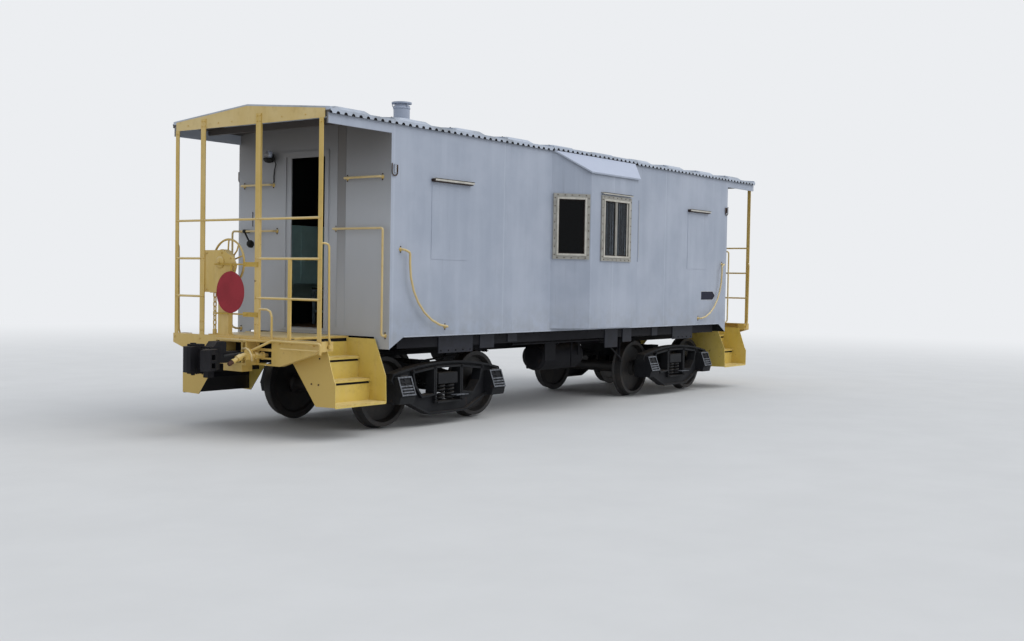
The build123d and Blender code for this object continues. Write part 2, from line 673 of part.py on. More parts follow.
# Cast side frame: an arched top member, sloping bottom member and two columns,
# all with thin webs and thick rims, a box for each journal with a sloped lid,
# and a seat for the springs
FRAME_Y = 1020            # middle of the side frame
RIM_HALF = 68             # half the casting's thickness at its rims
WEB_HALF = 26
RIM_W = 24                # width of a rim
ARCH_TOP, ARCH_END = 785, 672
LID_TILT = (240, 90)      # height of the lid's face and how far its foot leans out
SEAT_Z = 300
WINDOW = [(278, 700), (640, 660), (602, 520), (482, 382), (278, 400)]
CENTRE = [(-224, SEAT_Z), (224, SEAT_Z), (224, 706), (-224, 706)]
FOOT = [(1010, ARCH_END), (1046, 600), (1002, 545), (1002, 316), (742, 316), (345, 150)]


def frame_face(inset=0):
    """Outline of the casting, or the same moved in by a rim's width."""
    arch = ThreePointArc((-1010, ARCH_END), (0, ARCH_TOP), (1010, ARCH_END))
    under = Polyline(*FOOT, *[(-x, z) for x, z in reversed(FOOT)])
    face = make_face(arch + under)
    return offset(face, -inset) if inset else face


def casting(face, y0, y1):
    return Pos(0, min(y0, y1), 0) * extrude(Plane.XZ * face, abs(y1 - y0), dir=(0, 1, 0))


def make_lid():
    """Journal box lid on its own plane: a plate with a rim and ribs."""
    lid = Box(244, 236, 12, align=ON_BASE)
    ring = Box(244, 236, 26, align=ON_BASE) - Box(200, 192, 60)
    ribs = Box(28, 210, 22, align=ON_BASE)
    for y in (-52, 50):
        ribs += Pos(0, y, 0) * Box(150, 22, 22, align=ON_BASE)
    hinge = Pos(0, 122, 8) * Rot(0, 90, 0) * Cylinder(16, 130)
    return lid + ring + ribs + hinge


def make_side_frame():
    outer, inner = -FRAME_Y - RIM_HALF, -FRAME_Y + RIM_HALF
    windows = [WINDOW, [(-x, z) for x, z in WINDOW]]
    solid = casting(frame_face(), outer, inner)
    openings = [make_face(Polyline(*points, close=True)) for points in windows + [CENTRE]]
    pockets = casting(frame_face(RIM_W), outer, inner)
    for opening in openings:
        pockets -= casting(offset(opening, RIM_W, kind=Kind.INTERSECTION), outer, inner)
    web = block(-1100, 1100, -FRAME_Y - WEB_HALF, -FRAME_Y + WEB_HALF, 0, 900)
    frame = solid - (pockets - web)
    for opening in openings:
        frame -= casting(opening, outer, inner)
    frame += block(-224, 224, outer - 20, inner + 20, SEAT_Z - 22, SEAT_Z)
    height, lean = LID_TILT
    top_y, top_z = -1112, 642
    box = [(-905, 322), (-905, 590), (top_y, top_z), (top_y - lean, top_z - height), (top_y - lean + 22, 322)]
    tilt = Plane(origin=(0, top_y - lean / 2, top_z - height / 2), x_dir=(1, 0, 0), z_dir=(0, -height, lean))
    for x in (-AXLE_HALF, AXLE_HALF):
        frame += plate_x(box, x - 128, x + 128)
        frame -= disc_y(x, AXLE_Z, 82, -1120, -900)
        frame += Pos(x, 0, 0) * (tilt * make_lid())
    return frame


to_trucks("side_frames", *both_sides(make_side_frame()))

BOLSTER = [(1078, 508), (820, 508), (360, 560), (-360, 560), (-820, 508), (-1078, 508), (-1078, 640),
           (-880, 660), (-420, 762), (420, 762), (880, 660), (1078, 640)]


def make_bolster():
    bolster = plate_x(BOLSTER, -182, 182)
    bolster += Pos(0, 0, 780) * Cylinder(150, 40)
    for y in (-1, 1):
        bolster += block(-90, 90, y * 560, y * 700, 680, 772)
        for x in (-166, 166):                             # pockets in its sides
            bolster -= block(x - 16, x + 16, y * 760, y * 420, 600, 640)
    return bolster


to_trucks("bolster", make_bolster())

SPRING_R = 68
COILS = 4


def make_spring():
    """Outer coil: a stack of turns, with a notch between each two."""
    height = BOLSTER[0][1] - SEAT_Z
    turn = height / COILS
    edge = [(0, 0)]
    for coil in range(COILS):
        edge += [(SPRING_R - 18, coil * turn), (SPRING_R, (coil + 0.5) * turn)]
    edge += [(SPRING_R - 18, height), (0, height)]
    return revolve(make_face(Plane.XZ * Polyline(*edge, close=True)), Axis.Z, 360)


springs = [Pos(x, -FRAME_Y, SEAT_Z) * make_spring() for x in (-86, 86)]
to_trucks("springs", *both_sides(*springs))

# Brake beams between the bolster and the wheels: a channel, a strut, a head
# and shoe in front of each tread, and a hanger from the bolster
BEAM_Z = 400
SHOE_GAP = 14
TREAD_Y = 762


def make_brake_beam():
    x = AXLE_HALF - TREAD_R - 110
    beam = block(x - 30, x + 30, -TREAD_Y - 30, TREAD_Y + 30, BEAM_Z - 34, BEAM_Z + 34)
    beam -= block(x - 30, x + 18, -TREAD_Y + 60, TREAD_Y - 60, BEAM_Z - 24, BEAM_Z + 24)
    clear = disc_y(AXLE_HALF, AXLE_Z, TREAD_R + SHOE_GAP, -900, 900)
    for y in (-TREAD_Y, TREAD_Y):
        beam += block(x, x + 120, y - 26, y + 26, BEAM_Z - 105, BEAM_Z + 115) - clear
        beam += bar([(x - 10, y, BEAM_Z + 20), (196, y, 535)], 13)
        beam += block(182, 206, y - 28, y + 28, 512, 556)
    return beam


brake_beam = make_brake_beam()
to_trucks("brake_beams", brake_beam, other_end(brake_beam))


# Wheelsets: an axle and its two wheels, turned as one piece
# Half of its outline, from the middle outwards: (radius, across)
WHEEL_EDGE = [(0, 0), (80, 0), (88, 640), (118, 664), (112, 716), (340, 704), (362, WHEEL_IN),
              (FLANGE_R - 6, WHEEL_IN), (FLANGE_R, WHEEL_IN + 14), (TREAD_R + 3, WHEEL_IN + 38),
              (TREAD_R - 4, WHEEL_OUT), (366, WHEEL_OUT), (344, 742), (125, 776), (112, 842), (76, 850),
              (72, 1110), (0, 1110)]


def make_wheelset():
    face = make_face(Plane.XY * Polyline(*WHEEL_EDGE, close=True))
    turned = revolve(face, Axis.Y, 360)
    return turned + far_side(turned)


wheelset = make_wheelset()
for truck, x in (("left", -TRUCK_X), ("right", TRUCK_X)):
    for axle, dx in (("outer", -AXLE_HALF), ("inner", AXLE_HALF)):
        place = x + dx if truck == "left" else x - dx
        save(f"wheelset_{truck}_{axle}", Pos(place, 0, AXLE_Z) * wheelset)


# Chimney on the roof, and the stove under it
CHIMNEY = (-2990, -350)
PIPE_R = 102
# Outline of the chimney from its middle: a skirt on the roof, the pipe, a neck
# and the cowl, as (radius, height)
CHIMNEY_EDGE = [(0, 3500), (140, 3500), (140, 3694), (PIPE_R, 3712), (PIPE_R, 3940), (PIPE_R - 20, 3940),
                (PIPE_R - 20, 3966), (126, 3966), (126, 3984), (0, 4000)]
STOVE_EDGE = [(0, 100), (170, 100), (235, 170), (235, 240), (215, 420), (240, 560), (240, 600), (160, 690),
              (80, 700), (80, 1900), (0, 1900)]
STOVE_TOP = roof_z(CHIMNEY[1]) - FLOOR_TOP


def turned_z(edge):
    return revolve(make_face(Plane.XZ * Polyline(*edge, close=True)), Axis.Z, 360)


def make_chimney():
    """The turned shape, cut off along the roof it stands on."""
    return Pos(*CHIMNEY, 0) * turned_z(CHIMNEY_EDGE) - roof - gable(-400, 1, -CANOPY_HALF, 0)


def make_stove():
    x, y = CHIMNEY
    stove = Pos(x, y, FLOOR_TOP) * turned_z(STOVE_EDGE)
    for side_x, side_y in ((-1, -1), (-1, 1), (1, -1), (1, 1)):
        leg_x, leg_y = x + side_x * 110, y + side_y * 110
        stove += block(leg_x - 20, leg_x + 20, leg_y - 20, leg_y + 20, FLOOR_TOP, FLOOR_TOP + 110)
    return stove + rod((x, y, FLOOR_TOP + 1800), (x, y, FLOOR_TOP + STOVE_TOP - 8), 80)


save("chimney", make_chimney())
save("stove", make_stove())


# Seats in the bays, facing each other, a desk with lockers over it and a chair
def make_bay_seat():
    x0, x1, y0, y1 = -960, -500, -1180, -700
    seat = block(x0, x1, y0, y1, FLOOR_TOP, 1560)
    cushions = [(x0, 1560), (x1, 1560), (x1 - 10, 1660), (x0 + 90, 1670), (x0 + 40, 2200),
                (x0 - 40, 2200)]
    return seat + plate_y(cushions, y0, y1)


def make_lockers():
    x0, x1, wall = -3900, -2350, BODY_Y - WALL
    lockers = block(x0, x1, 860, wall, 1700, 2440)
    for x in (x0 + 15, x0 + 400, x0 + 785, x0 + 1170):
        lockers -= block(x, x + 365, 860, 868, 1715, 2425)
    return lockers


def make_chair():
    x, y = -3150, 620
    chair = block(x - 210, x + 210, y - 210, y + 210, 1600, 1650)
    for side_x in (-1, 1):
        for side_y in (-1, 1):
            high = 2050 if side_y < 0 else 1610
            leg_x, leg_y = x + side_x * 190, y + side_y * 190
            chair += block(leg_x - 15, leg_x + 15, leg_y - 15, leg_y + 15, FLOOR_TOP, high)
    chair += block(x - 205, x + 205, y - 200, y - 180, 1830, 2050)
    for side_x in (-1, 1):
        chair += block(x + side_x * 200, x + side_x * 180, y - 190, y + 190, 1330, 1360)
    return chair


seat = make_bay_seat()
seats = [seat, Pos(2 * BAY_X, 0, 0) * mirror(seat, about=Plane.YZ)]
save("bay_seats", *both_sides(*seats))
save("lockers", make_lockers())
save("chair", make_chair())


# Blanked side windows: a plate in each old opening and a drip rail over it
BLANK_X, BLANK_HALF, BLANK_Z0, BLANK_Z1 = 3140, 340, 2020, 2935


def make_blanks():
    pieces = []
    for x in (-BLANK_X, BLANK_X):
        half = BLANK_HALF
        pieces.append(block(x - half, x + half, -BODY_Y - 4, -BODY_Y, BLANK_Z0, BLANK_Z1))
        half += 5
        pieces.append(block(x - half, x + half, -BODY_Y - 45, -BODY_Y, BLANK_Z1 + 5, BLANK_Z1 + 25))
    return pieces


blanks = make_blanks()
save("window_blanks", *blanks, *[far_side(piece) for piece in blanks])


# Grab irons. One at each end of each side bends round a quarter circle from an
# upright to a foot near the sill.
GRAB_R = 13
ARC_X, ARC_Z, ARC_R = -3170, 1965, 745


def make_side_grab():
    y = -BODY_Y - 60
    left = ARC_X - ARC_R
    points = [(left - 100, -BODY_Y, 2118), (left - 100, y, 2118), (left, y, 2085), (left, y, ARC_Z)]
    for step in range(1, 8):
        turn = step * 87 / 7 * pi / 180
        points.append((ARC_X - ARC_R * cos(turn), y, ARC_Z - ARC_R * sin(turn)))
    points.append((points[-1][0], -BODY_Y, points[-1][2]))
    return bar(points, GRAB_R, 22, 1)


save("side_grab_irons", *both_ends(*both_sides(make_side_grab())))

# End wall grabs: (y0, z0) to (y1, z1), each standing off the wall
END_GRABS = [((-605, 2935), (-1158, 2935)), ((1180, 2902), (650, 2902)), ((1235, 2338), (580, 2338))]
STAND_OFF = 65


def make_end_grabs():
    face = -BODY_HALF
    x = face - STAND_OFF
    bars = []
    for (y0, z0), (y1, z1) in END_GRABS:
        bars.append(bar([(face, y0, z0), (x, y0, z0), (x, y1, z1), (face, y1, z1)], GRAB_R, 25))
    points = [(face, -430, 2352), (x, -430, 2352), (x, -1228, 2352), (x, -1228, 1135), (face, -1228, 1135)]
    bars.append(bar(points, GRAB_R, 25))
    return bars


save("end_grab_irons", *both_ends(*make_end_grabs()))


# Brake gear under the floor
TANK = (-520, 700, 200)           # across, up, radius
TANK_ENDS = (-330, 720)


def make_reservoir():
    y, z, r = TANK
    x0, x1 = TANK_ENDS
    edge = [(x0 - 45, 0), (x0 - 35, r * 0.55), (x0, r * 0.88), (x0 + 60, r), (x1 - 60, r), (x1, r * 0.88),
            (x1 + 35, r * 0.55), (x1 + 45, 0)]
    profile = make_face(Plane.XZ * Polyline(*edge, close=True))
    tank = Pos(0, y, z) * revolve(profile, Axis.X, 360)
    for x in (-150, 560):
        strap = block(x - 22, x + 22, y - r - 8, y + r + 8, z, SILL_Z)
        strap -= block(x - 30, x + 30, y - r, y + r, z, SILL_Z - 12)
        tank += strap - rod((x - 30, y, z), (x + 30, y, z), r - 4)
    return tank


save("air_reservoir", make_reservoir())


def make_brake_cylinder():
    y, z = 520, 770
    back, front = -1180, -720
    tank = rod((back, y, z), (front, y, z), 150) + rod((front - 20, y, z), (front + 4, y, z), 172)
    tank += rod((back - 24, y, z), (back, y, z), 120) + bar([(front + 4, y, z), (front + 240, y, z)], 22)
    saddle = block(back + 60, front - 60, y - 90, y + 90, z + 100, SILL_Z)
    tank += saddle - block(back + 70, front - 70, y - 75, y + 75, z + 155, SILL_Z)
    tank += block(front + 220, front + 250, y - 330, y + 190, z - 12, z + 12)
    return tank


save("brake_cylinder", make_brake_cylinder())

# Train pipe along the bearers, with a hanger plate and a drop rod
PIPE_Y, PIPE_Z = -900, 930


def make_train_pipe():
    pipe = bar([(-1340, PIPE_Y, PIPE_Z), (1340, PIPE_Y, PIPE_Z)], 17)
    for x in (-1300, -430, 430, 1300):
        pipe += block(x - 14, x + 14, PIPE_Y - 12, PIPE_Y + 2, PIPE_Z, 966)
    pipe += block(-567, -308, PIPE_Y - 5, PIPE_Y + 5, 670, 966)
    return pipe + bar([(100, PIPE_Y, 560), (100, PIPE_Y, SILL_Z)], 12)


save("train_pipe", make_train_pipe())

# Plates and boxes on the side sills: ends along the car, lower edge
SILL_PLATES = [(-TRUCK_X - 330, -TRUCK_X + 330, 895), (TRUCK_X - 330, TRUCK_X + 330, 895),
               (-2400, -2110, 930), (-1820, -1620, 990), (535, 885, 830), (1030, 1280, 900),
               (1890, 2060, 970)]
sill_face = -SIDE_SILL[1]
plates = [block(x0, x1, sill_face - 12, sill_face, z0, 1100) for x0, x1, z0 in SILL_PLATES]
save("sill_plates", *plates, *[other_end(plate) for plate in plates])
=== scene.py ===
# %% [markdown]
# # A bay window caboose, dressed for its picture
# The construction comes packed from CAD, in metres, and is used as it stands.
# What is left to do here is what a paint shop and a fitter would do: give each
# surface its finish, and screw on the thin things, such as bolts, window
# sashes, coil springs and brake rods.

# %% Load the frame
import bmesh
import bpy
import math
from mathutils import Matrix, Vector


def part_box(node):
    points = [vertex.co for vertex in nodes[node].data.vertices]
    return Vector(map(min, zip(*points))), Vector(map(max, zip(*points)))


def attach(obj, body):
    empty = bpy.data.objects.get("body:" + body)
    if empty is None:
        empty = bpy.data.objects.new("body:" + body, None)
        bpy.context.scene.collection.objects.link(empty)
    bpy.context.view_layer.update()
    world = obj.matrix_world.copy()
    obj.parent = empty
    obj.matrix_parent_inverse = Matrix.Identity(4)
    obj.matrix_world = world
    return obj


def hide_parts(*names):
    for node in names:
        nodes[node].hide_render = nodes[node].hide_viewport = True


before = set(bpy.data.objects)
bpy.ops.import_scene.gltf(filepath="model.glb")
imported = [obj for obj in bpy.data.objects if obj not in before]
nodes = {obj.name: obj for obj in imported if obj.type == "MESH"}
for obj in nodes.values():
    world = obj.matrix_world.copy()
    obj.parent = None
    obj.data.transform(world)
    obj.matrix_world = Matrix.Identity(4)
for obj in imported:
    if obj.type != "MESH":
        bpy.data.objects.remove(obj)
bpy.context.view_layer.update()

# %% [markdown]
# ## Colours
# Paint chips are named by sRGB hex values, while Blender's sockets take linear
# light. One function turns the first into the second, so that every colour
# below can be read and changed as a painter would.

# %% Hex to linear
def colour(code):
    """The linear red, green, blue and alpha of an sRGB hex colour."""
    parts = [int(code[i:i + 2], 16) / 255 for i in (1, 3, 5)]
    return (*[c / 12.92 if c <= 0.04045 else ((c + 0.055) / 1.055) ** 2.4 for c in parts], 1.0)


print("aluminium paint in linear light:", [round(c, 3) for c in colour("#a3abb8")])

# %% [markdown]
# ## One way to add a node
# A material is a small graph. It could be built with a function for each kind
# of node, but one function that adds any node keeps the recipes below short
# and alike. It looks the node up by a short name in a table, which holds its
# kind, its settings, the sockets to fill in turn and the output to read. Sums
# and comparisons go by their usual signs.

# %% Add a node
SUMS = {"+": "ADD", "-": "SUBTRACT", "*": "MULTIPLY", "**": "POWER", ">": "GREATER_THAN",
        "<": "LESS_THAN", "max": "MAXIMUM", "abs": "ABSOLUTE", "sign": "SIGN", "zigzag": "PINGPONG"}
RANGE = ("Value", "From Min", "From Max", "To Min", "To Max")
KINDS = {name: ("Math", {"operation": operation}, (0, 1), 0) for name, operation in SUMS.items()}
KINDS.update({axis: ("SeparateXYZ", {}, ("Vector",), axis) for axis in "XYZ"})
KINDS.update({
    "place": ("TexCoord", {}, (), "Object"),
    "point": ("NewGeometry", {}, (), "Position"),
    "normal": ("NewGeometry", {}, (), "Normal"),
    "scaled": ("VectorMath", {"operation": "MULTIPLY"}, (0, 1), "Vector"),
    "dot": ("VectorMath", {"operation": "DOT_PRODUCT"}, (0, 1), "Value"),
    "length": ("VectorMath", {"operation": "LENGTH"}, (0,), "Value"),
    "stretch": ("Mapping", {}, ("Vector", "Scale"), "Vector"),
    "noise": ("TexNoise", {}, ("Vector", "Scale", "Detail", "Roughness"), "Fac"),
    "line": ("MapRange", {}, RANGE, "Result"),
    "curve": ("MapRange", {"interpolation_type": "SMOOTHSTEP"}, RANGE, "Result"),
    "mix": ("Mix", {"data_type": "RGBA"}, (0, 6, 7), 2),
    "bump": ("Bump", {}, ("Height", "Distance", "Strength", "Normal"), "Normal"),
    "camera ray": ("LightPath", {}, (), "Is Camera Ray"),
    "glossy ray": ("LightPath", {}, (), "Is Glossy Ray"),
    "glass ray": ("LightPath", {}, (), "Is Transmission Ray"),
    "emission": ("Emission", {}, ("Color", "Strength"), "Emission"),
    "background": ("Background", {}, ("Color", "Strength"), "Background"),
    "mix shaders": ("MixShader", {}, (0, 1, 2), "Shader"),
})


def add(tree, name, *values):
    """A new node. Each socket is given a value or the output that feeds it."""
    kind, settings, sockets, output = KINDS[name]
    node = tree.nodes.new("ShaderNode" + kind)
    for setting, value in settings.items():
        setattr(node, setting, value)
    for socket, value in zip(sockets, values):
        if isinstance(value, bpy.types.NodeSocket):
            tree.links.new(value, node.inputs[socket])
        else:
            node.inputs[socket].default_value = value
    return node.outputs[output]


print("kinds of node in the table:", len(KINDS))

# %% [markdown]
# ## Coats of paint, and patterns with a real size
# A finish is built up as a painter does it: a ground colour, then thinner coats
# over it, each where a pattern lets it through. Noise in Blender has about one
# lump to a unit at scale 1, and a unit here is a metre, so a lump of so many
# millimetres is a scale of a thousand over that number. Weather draws
# everything downwards, so streaks are the same noise, squeezed across and
# stretched along the height. Relief is given its real depth.

# %% A finish in the making
class Finish:
    """A material, with its colour and its relief so far."""

    def __init__(self, name, roughness, ground, metallic=0.0, specular=0.5):
        self.material = bpy.data.materials.new(name)
        self.material.use_nodes = True
        self.tree = self.material.node_tree
        self.shader = self.tree.nodes["Principled BSDF"]
        self.shader.inputs["Roughness"].default_value = roughness
        self.shader.inputs["Metallic"].default_value = metallic
        self.shader.inputs["Specular IOR Level"].default_value = specular
        self.place = self.add("place")
        self.colour = colour(ground)
        self.normal = None

    def add(self, name, *values):
        return add(self.tree, name, *values)

    def looks(self, axis):
        """How much a face looks along an axis, from -1 to 1."""
        return self.add(axis, self.add("normal"))

    def spots(self, size, low, high, detail=4.0, rough=0.6, place=None):
        """0 to 1 where noise of this many millimetres rises from low to high."""
        noise = self.add("noise", place or self.place, 1000 / size, detail, rough)
        return self.add("curve", noise, low, high)

    def streaks(self, width, length, low, high):
        """Vertical runs, this many millimetres wide and long."""
        drawn = self.add("stretch", self.place, (1000 / width, 1000 / width, 1000 / length))
        return self.spots(1000, low, high, 3.0, place=drawn)

    def coat(self, code, share, strength=1.0):
        """Lays a colour over what is there, where share is 1, at a strength."""
        share = self.add("*", share, strength)
        self.colour = self.add("mix", share, self.colour, colour(code))

    def relief(self, height, depth_mm):
        """Relief of a real depth, over what is there."""
        below = [self.normal] if self.normal else []
        self.normal = self.add("bump", height, depth_mm / 1000, 1.0, *below)

    def done(self, gloss=None):
        ends = {"Base Color": self.colour, "Normal": self.normal, "Roughness": gloss}
        for name, output in ends.items():
            if output:
                self.tree.links.new(output, self.shader.inputs[name])
        print("finish:", self.material.name)
        return self.material


# %% [markdown]
# ## Aluminium paint on sheet steel
# The cabin is welded from steel sheet and rolled over with aluminium paint, an
# alkyd with fine flake in it. Outdoors it chalks to a soft blue grey, with a
# satin gloss, paler bands along the welds and thin dark runs from the eave.
# The sheets are never flat: welding pulls them in between the posts, which is
# what breaks up the reflections on a long wall. Faces that look up are painted
# paler, as a painted highlight. Under the canopies the end walls are painted
# lighter, and darker towards their top, as painted shade of the canopy. Inside,
# the lining is enamelled pale green between two heights, and above and below
# them it is painted dark as shade. All of it is one material, told apart by
# which way a face looks and how high it is.

# %% Cabin finish
PANEL = 1.035             # sheets of wall and roof are this wide
GREEN_LOW, GREEN_HIGH = 1.50, 2.44     # the lining is green between these heights
SPLASH_LOW, SPLASH_HIGH = 1.10, 1.55   # mud from the wheels reaches up to here
CORNER_X = 4.10           # beyond it, faces that look along the car are under a canopy
LINING_X = 4.135          # the lining ends here,
LINING_FOOT = 1.14        # and below this the walls behind are painted dark as shade all along
PAINTED_SHADE_TOP = 3.50           # painted shade is darkest here, under the roof
SQUARELY = 0.7            # share of a normal along an axis, for a face that looks that way


def aluminium_paint(name, lined, painted_shade=0.0, painted_shade_low=2.35):
    """Painted shade is its share at the wall's top, for a piece that is all under a canopy."""
    paint = Finish(name, 0.52, "#9aa2b0")
    along, height = paint.add("X", paint.place), paint.add("Z", paint.place)
    paint.coat("#a7aebb", paint.spots(900, 0.35, 0.68))
    paint.coat("#b3bac6", paint.streaks(210, 2600, 0.35, 0.75), 0.35)
    paint.coat("#70757f", paint.streaks(26, 900, 0.60, 0.82), 0.30)
    weld = paint.add("curve", paint.add("zigzag", along, PANEL), 0.0, 0.022, 1.0, 0.0)
    paint.coat("#bcc3ce", weld, 0.28)
    splash = paint.add("line", height, SPLASH_LOW, SPLASH_HIGH, 1.0, 0.0)
    paint.coat("#85847f", paint.add("*", splash, paint.spots(160, 0.3, 0.7)), 0.35)
    # Faces that look up are painted paler: a painted highlight
    paint.coat("#bcc4d6", paint.add("curve", paint.looks("Z"), 0.15, 0.50), 0.8)
    from_middle = paint.add("abs", along)
    endward = paint.add(">", paint.add("abs", paint.looks("X")), SQUARELY)
    sheltered = paint.add("*", endward, paint.add(">", from_middle, CORNER_X))
    outdoors = paint.colour
    # Under a canopy, faces that look along the car are painted lighter, then darker towards the top:
    # painted shade of the canopy
    paint.coat("#b3b5b7", 0.75)
    paint.coat("#5f5a55", paint.add("curve", height, painted_shade_low, PAINTED_SHADE_TOP), painted_shade or 0.85)
    paint.colour = paint.add("mix", 1.0 if painted_shade else sheltered, outdoors, paint.colour)
    if lined:
        # A face of the lining looks back at the car's middle line
        level = paint.add("scaled", paint.add("point"), (1.0, 1.0, 0.0))
        inward = paint.add("<", paint.add("dot", paint.add("normal"), level), -0.02)
        indoors = paint.add("<", from_middle, LINING_X)
        indoors = paint.add("max", indoors, paint.add("<", height, LINING_FOOT))
        green = paint.add("<", height, GREEN_HIGH)
        green = paint.add("*", green, paint.add(">", height, GREEN_LOW))
        # Above and below the green, the lining is painted near black as shade
        lining_and_shade = paint.add("mix", green, colour("#1f2223"), colour("#c8eaea"))
        paint.colour = paint.add("mix", paint.add("*", inward, indoors), paint.colour, lining_and_shade)
    paint.relief(paint.spots(700, 0.2, 0.8, 1.0), 7)
    paint.relief(weld, 1.5)
    # Roller stipple is finer than 3 mm, and is drawn at 9 mm so that it shows
    paint.relief(paint.spots(9, 0.2, 0.8, 2.0), 0.25)
    return paint.done()


wall_paint = aluminium_paint("aluminium_paint_lined", True)
trim_paint = aluminium_paint("aluminium_paint_trim", False)
end_paint = aluminium_paint("aluminium_paint_under_canopy", True, 0.85)
strap_shade_paint = aluminium_paint("aluminium_paint_strap_shade", False, 0.97, 1.20)

# %% [markdown]
# ## Roof
# The roof has the same paint over pressed panels, but it faces the sky: it is
# paler, flatter, and grime from rain lies in the hollows beside each rib. A
# noise less than a hand wide, pulled down the slope, stands for that. Faces
# that look down, and the carlines, are painted dark brown as shade.

# %% Roof finish
CARLINE_TOP = 3.56        # the carlines under the canopies end at this height
paint = Finish("roof_aluminium_paint", 0.6, "#b4bcc8")
paint.coat("#8f959c", paint.spots(420, 0.45, 0.75))
# Lumps of 1 m, drawn in to 56 mm along the car and 770 mm down the slope
drawn = paint.add("stretch", paint.place, (18.0, 1.3, 1.0))
paint.coat("#74776f", paint.spots(1000, 0.55, 0.8, place=drawn), 0.4)
paint.coat("#6b4a36", paint.spots(55, 0.70, 0.76, 6.0, 0.7), 0.7)
# Painted shade: faces that look down, and the carlines below CARLINE_TOP, are dark brown
under = paint.add("<", paint.looks("Z"), -0.5)
carline = paint.add(">", paint.add("abs", paint.looks("X")), SQUARELY)
carline = paint.add("*", carline, paint.add("<", paint.add("Z", paint.place), CARLINE_TOP))
paint.coat("#453f3b", paint.add("max", under, carline))
paint.relief(paint.spots(60, 0.3, 0.7), 0.8)
roof_paint = paint.done()

# %% [markdown]
# ## Safety yellow
# Everything a trainman holds or stands on is brushed with chrome yellow alkyd
# enamel. It is thick and satin, with faint brush marks. Faces that look up are
# paler: partly fading towards cream where the sun reaches them, partly a
# painted highlight. Rust comes through in spots with a stained halo, most of
# all where boots and hands knock it. Spots and halo are one noise cut at two
# levels, so that each spot sits in the middle of its own stain. On the steps,
# the outer plates are painted a darker yellow as shade, and faces behind the
# risers and faces that look down or inward are painted near black as shade.

# %% Yellow finish
STRINGER_X = 4.98         # the outer plates of the steps lie beyond it
STEPS_GO_IN = 0.83        # so far for each metre that they rise
RISERS_AT = 1.28          # from the middle line, where the line of the risers would meet the ground
RUST = (5.0, 0.62)        # detail and roughness of the noise


def yellow_enamel(name, wear, tones, other=None, outward="Y", black_from=0.0, sun_fade_and_highlight=0.4):
    """Chrome yellow enamel. A higher wear lowers the level at which rust shows.

    With another colour, faces that look down, or inward along the axis, have that.
    """
    paint = Finish(name, 0.42, tones[0])
    paint.coat(tones[1], paint.spots(600, 0.3, 0.7))
    paint.coat("#d6bd80", paint.streaks(60, 700, 0.45, 0.8), 0.4)
    paint.coat("#a08038", paint.spots(90, 0.5, 0.8), 0.3)
    paint.coat("#8a5a2c", paint.spots(75, 0.70 - wear, 0.80 - wear, *RUST), 0.55)
    spot = paint.spots(75, 0.755 - wear, 0.775 - wear, *RUST)
    paint.coat("#40291c", spot)
    # Faces that look up are paler: partly sun fading, partly a painted highlight
    paint.coat("#f0e2ba", paint.add("curve", paint.looks("Z"), 0.1, 0.8), sun_fade_and_highlight)
    x, y, z = (paint.add("abs", paint.add(axis, paint.place)) for axis in "XYZ")
    if black_from:
        paint.coat("#17171b", paint.add("curve", x, black_from, black_from + 0.02))
    if other:
        away = paint.add("*", paint.add(outward, paint.place), paint.looks(outward))
        back = paint.add("<", away, -0.1)
        back = paint.add("max", back, paint.add("<", paint.looks("Z"), -0.6))
        if outward == "Y":
            # The outer plates of the steps are painted a darker yellow as shade
            end = paint.add("sign", paint.add("X", paint.place))
            outer = paint.add(">", paint.add("*", end, paint.looks("X")), 0.5)
            outer = paint.add("*", outer, paint.add(">", x, STRINGER_X))
            paint.coat("#c6a656", outer, 0.9)
            # Faces behind the risers are painted near black as shade, like those that look down or inward
            climb = paint.add("+", y, paint.add("*", z, STEPS_GO_IN))
            behind = paint.add("<", climb, RISERS_AT)
            behind = paint.add("*", behind, paint.add("<", x, STRINGER_X))
            back = paint.add("max", back, behind)
        paint.coat(other, back)
    # Brush marks 4 mm apart, drawn across every surface alike
    paint.relief(paint.streaks(4, 90, 0.2, 0.8), 0.12)
    paint.relief(paint.add("*", spot, -1.0), 0.5)
    return paint.done(paint.add("line", spot, 0.0, 1.0, 0.42, 0.85))


CHROME = ("#c8a854", "#d2b36a")
CREAM = ("#c9b078", "#d2bd8c")
yellow_paint = yellow_enamel("chrome_yellow_enamel", 0.0, CHROME)
yellow_worn = yellow_enamel("chrome_yellow_enamel_worn", 0.05, CHROME)
yellow_faded = yellow_enamel("chrome_yellow_enamel_faded", 0.0, CREAM)
# The rails have the strongest paler tops, as a painted highlight
rail_paint = yellow_enamel("chrome_yellow_enamel_sun_fade_and_highlight", 0.05, CHROME, sun_fade_and_highlight=0.85)
lever_paint = yellow_enamel("chrome_yellow_and_grease", 0.0, CHROME, black_from=5.37)
step_paint = yellow_enamel("chrome_yellow_with_painted_shade", 0.04, ("#d4ba59", "#dac169"), "#161618")
fascia_paint = yellow_enamel("chrome_yellow_over_aluminium", 0.0, ("#ccb06c", "#d6be84"), "#8d929b", "X")

# %% [markdown]
# ## Black running gear
# Frames, bolsters and sills are cast or rolled steel under a dull black
# asphalt paint. Castings show the sand mould as a fine pitting, ledges carry
# brown dust from the track, and rust comes through in patches. Upward faces
# are found from the normal, since dust lies where it can't slide off.

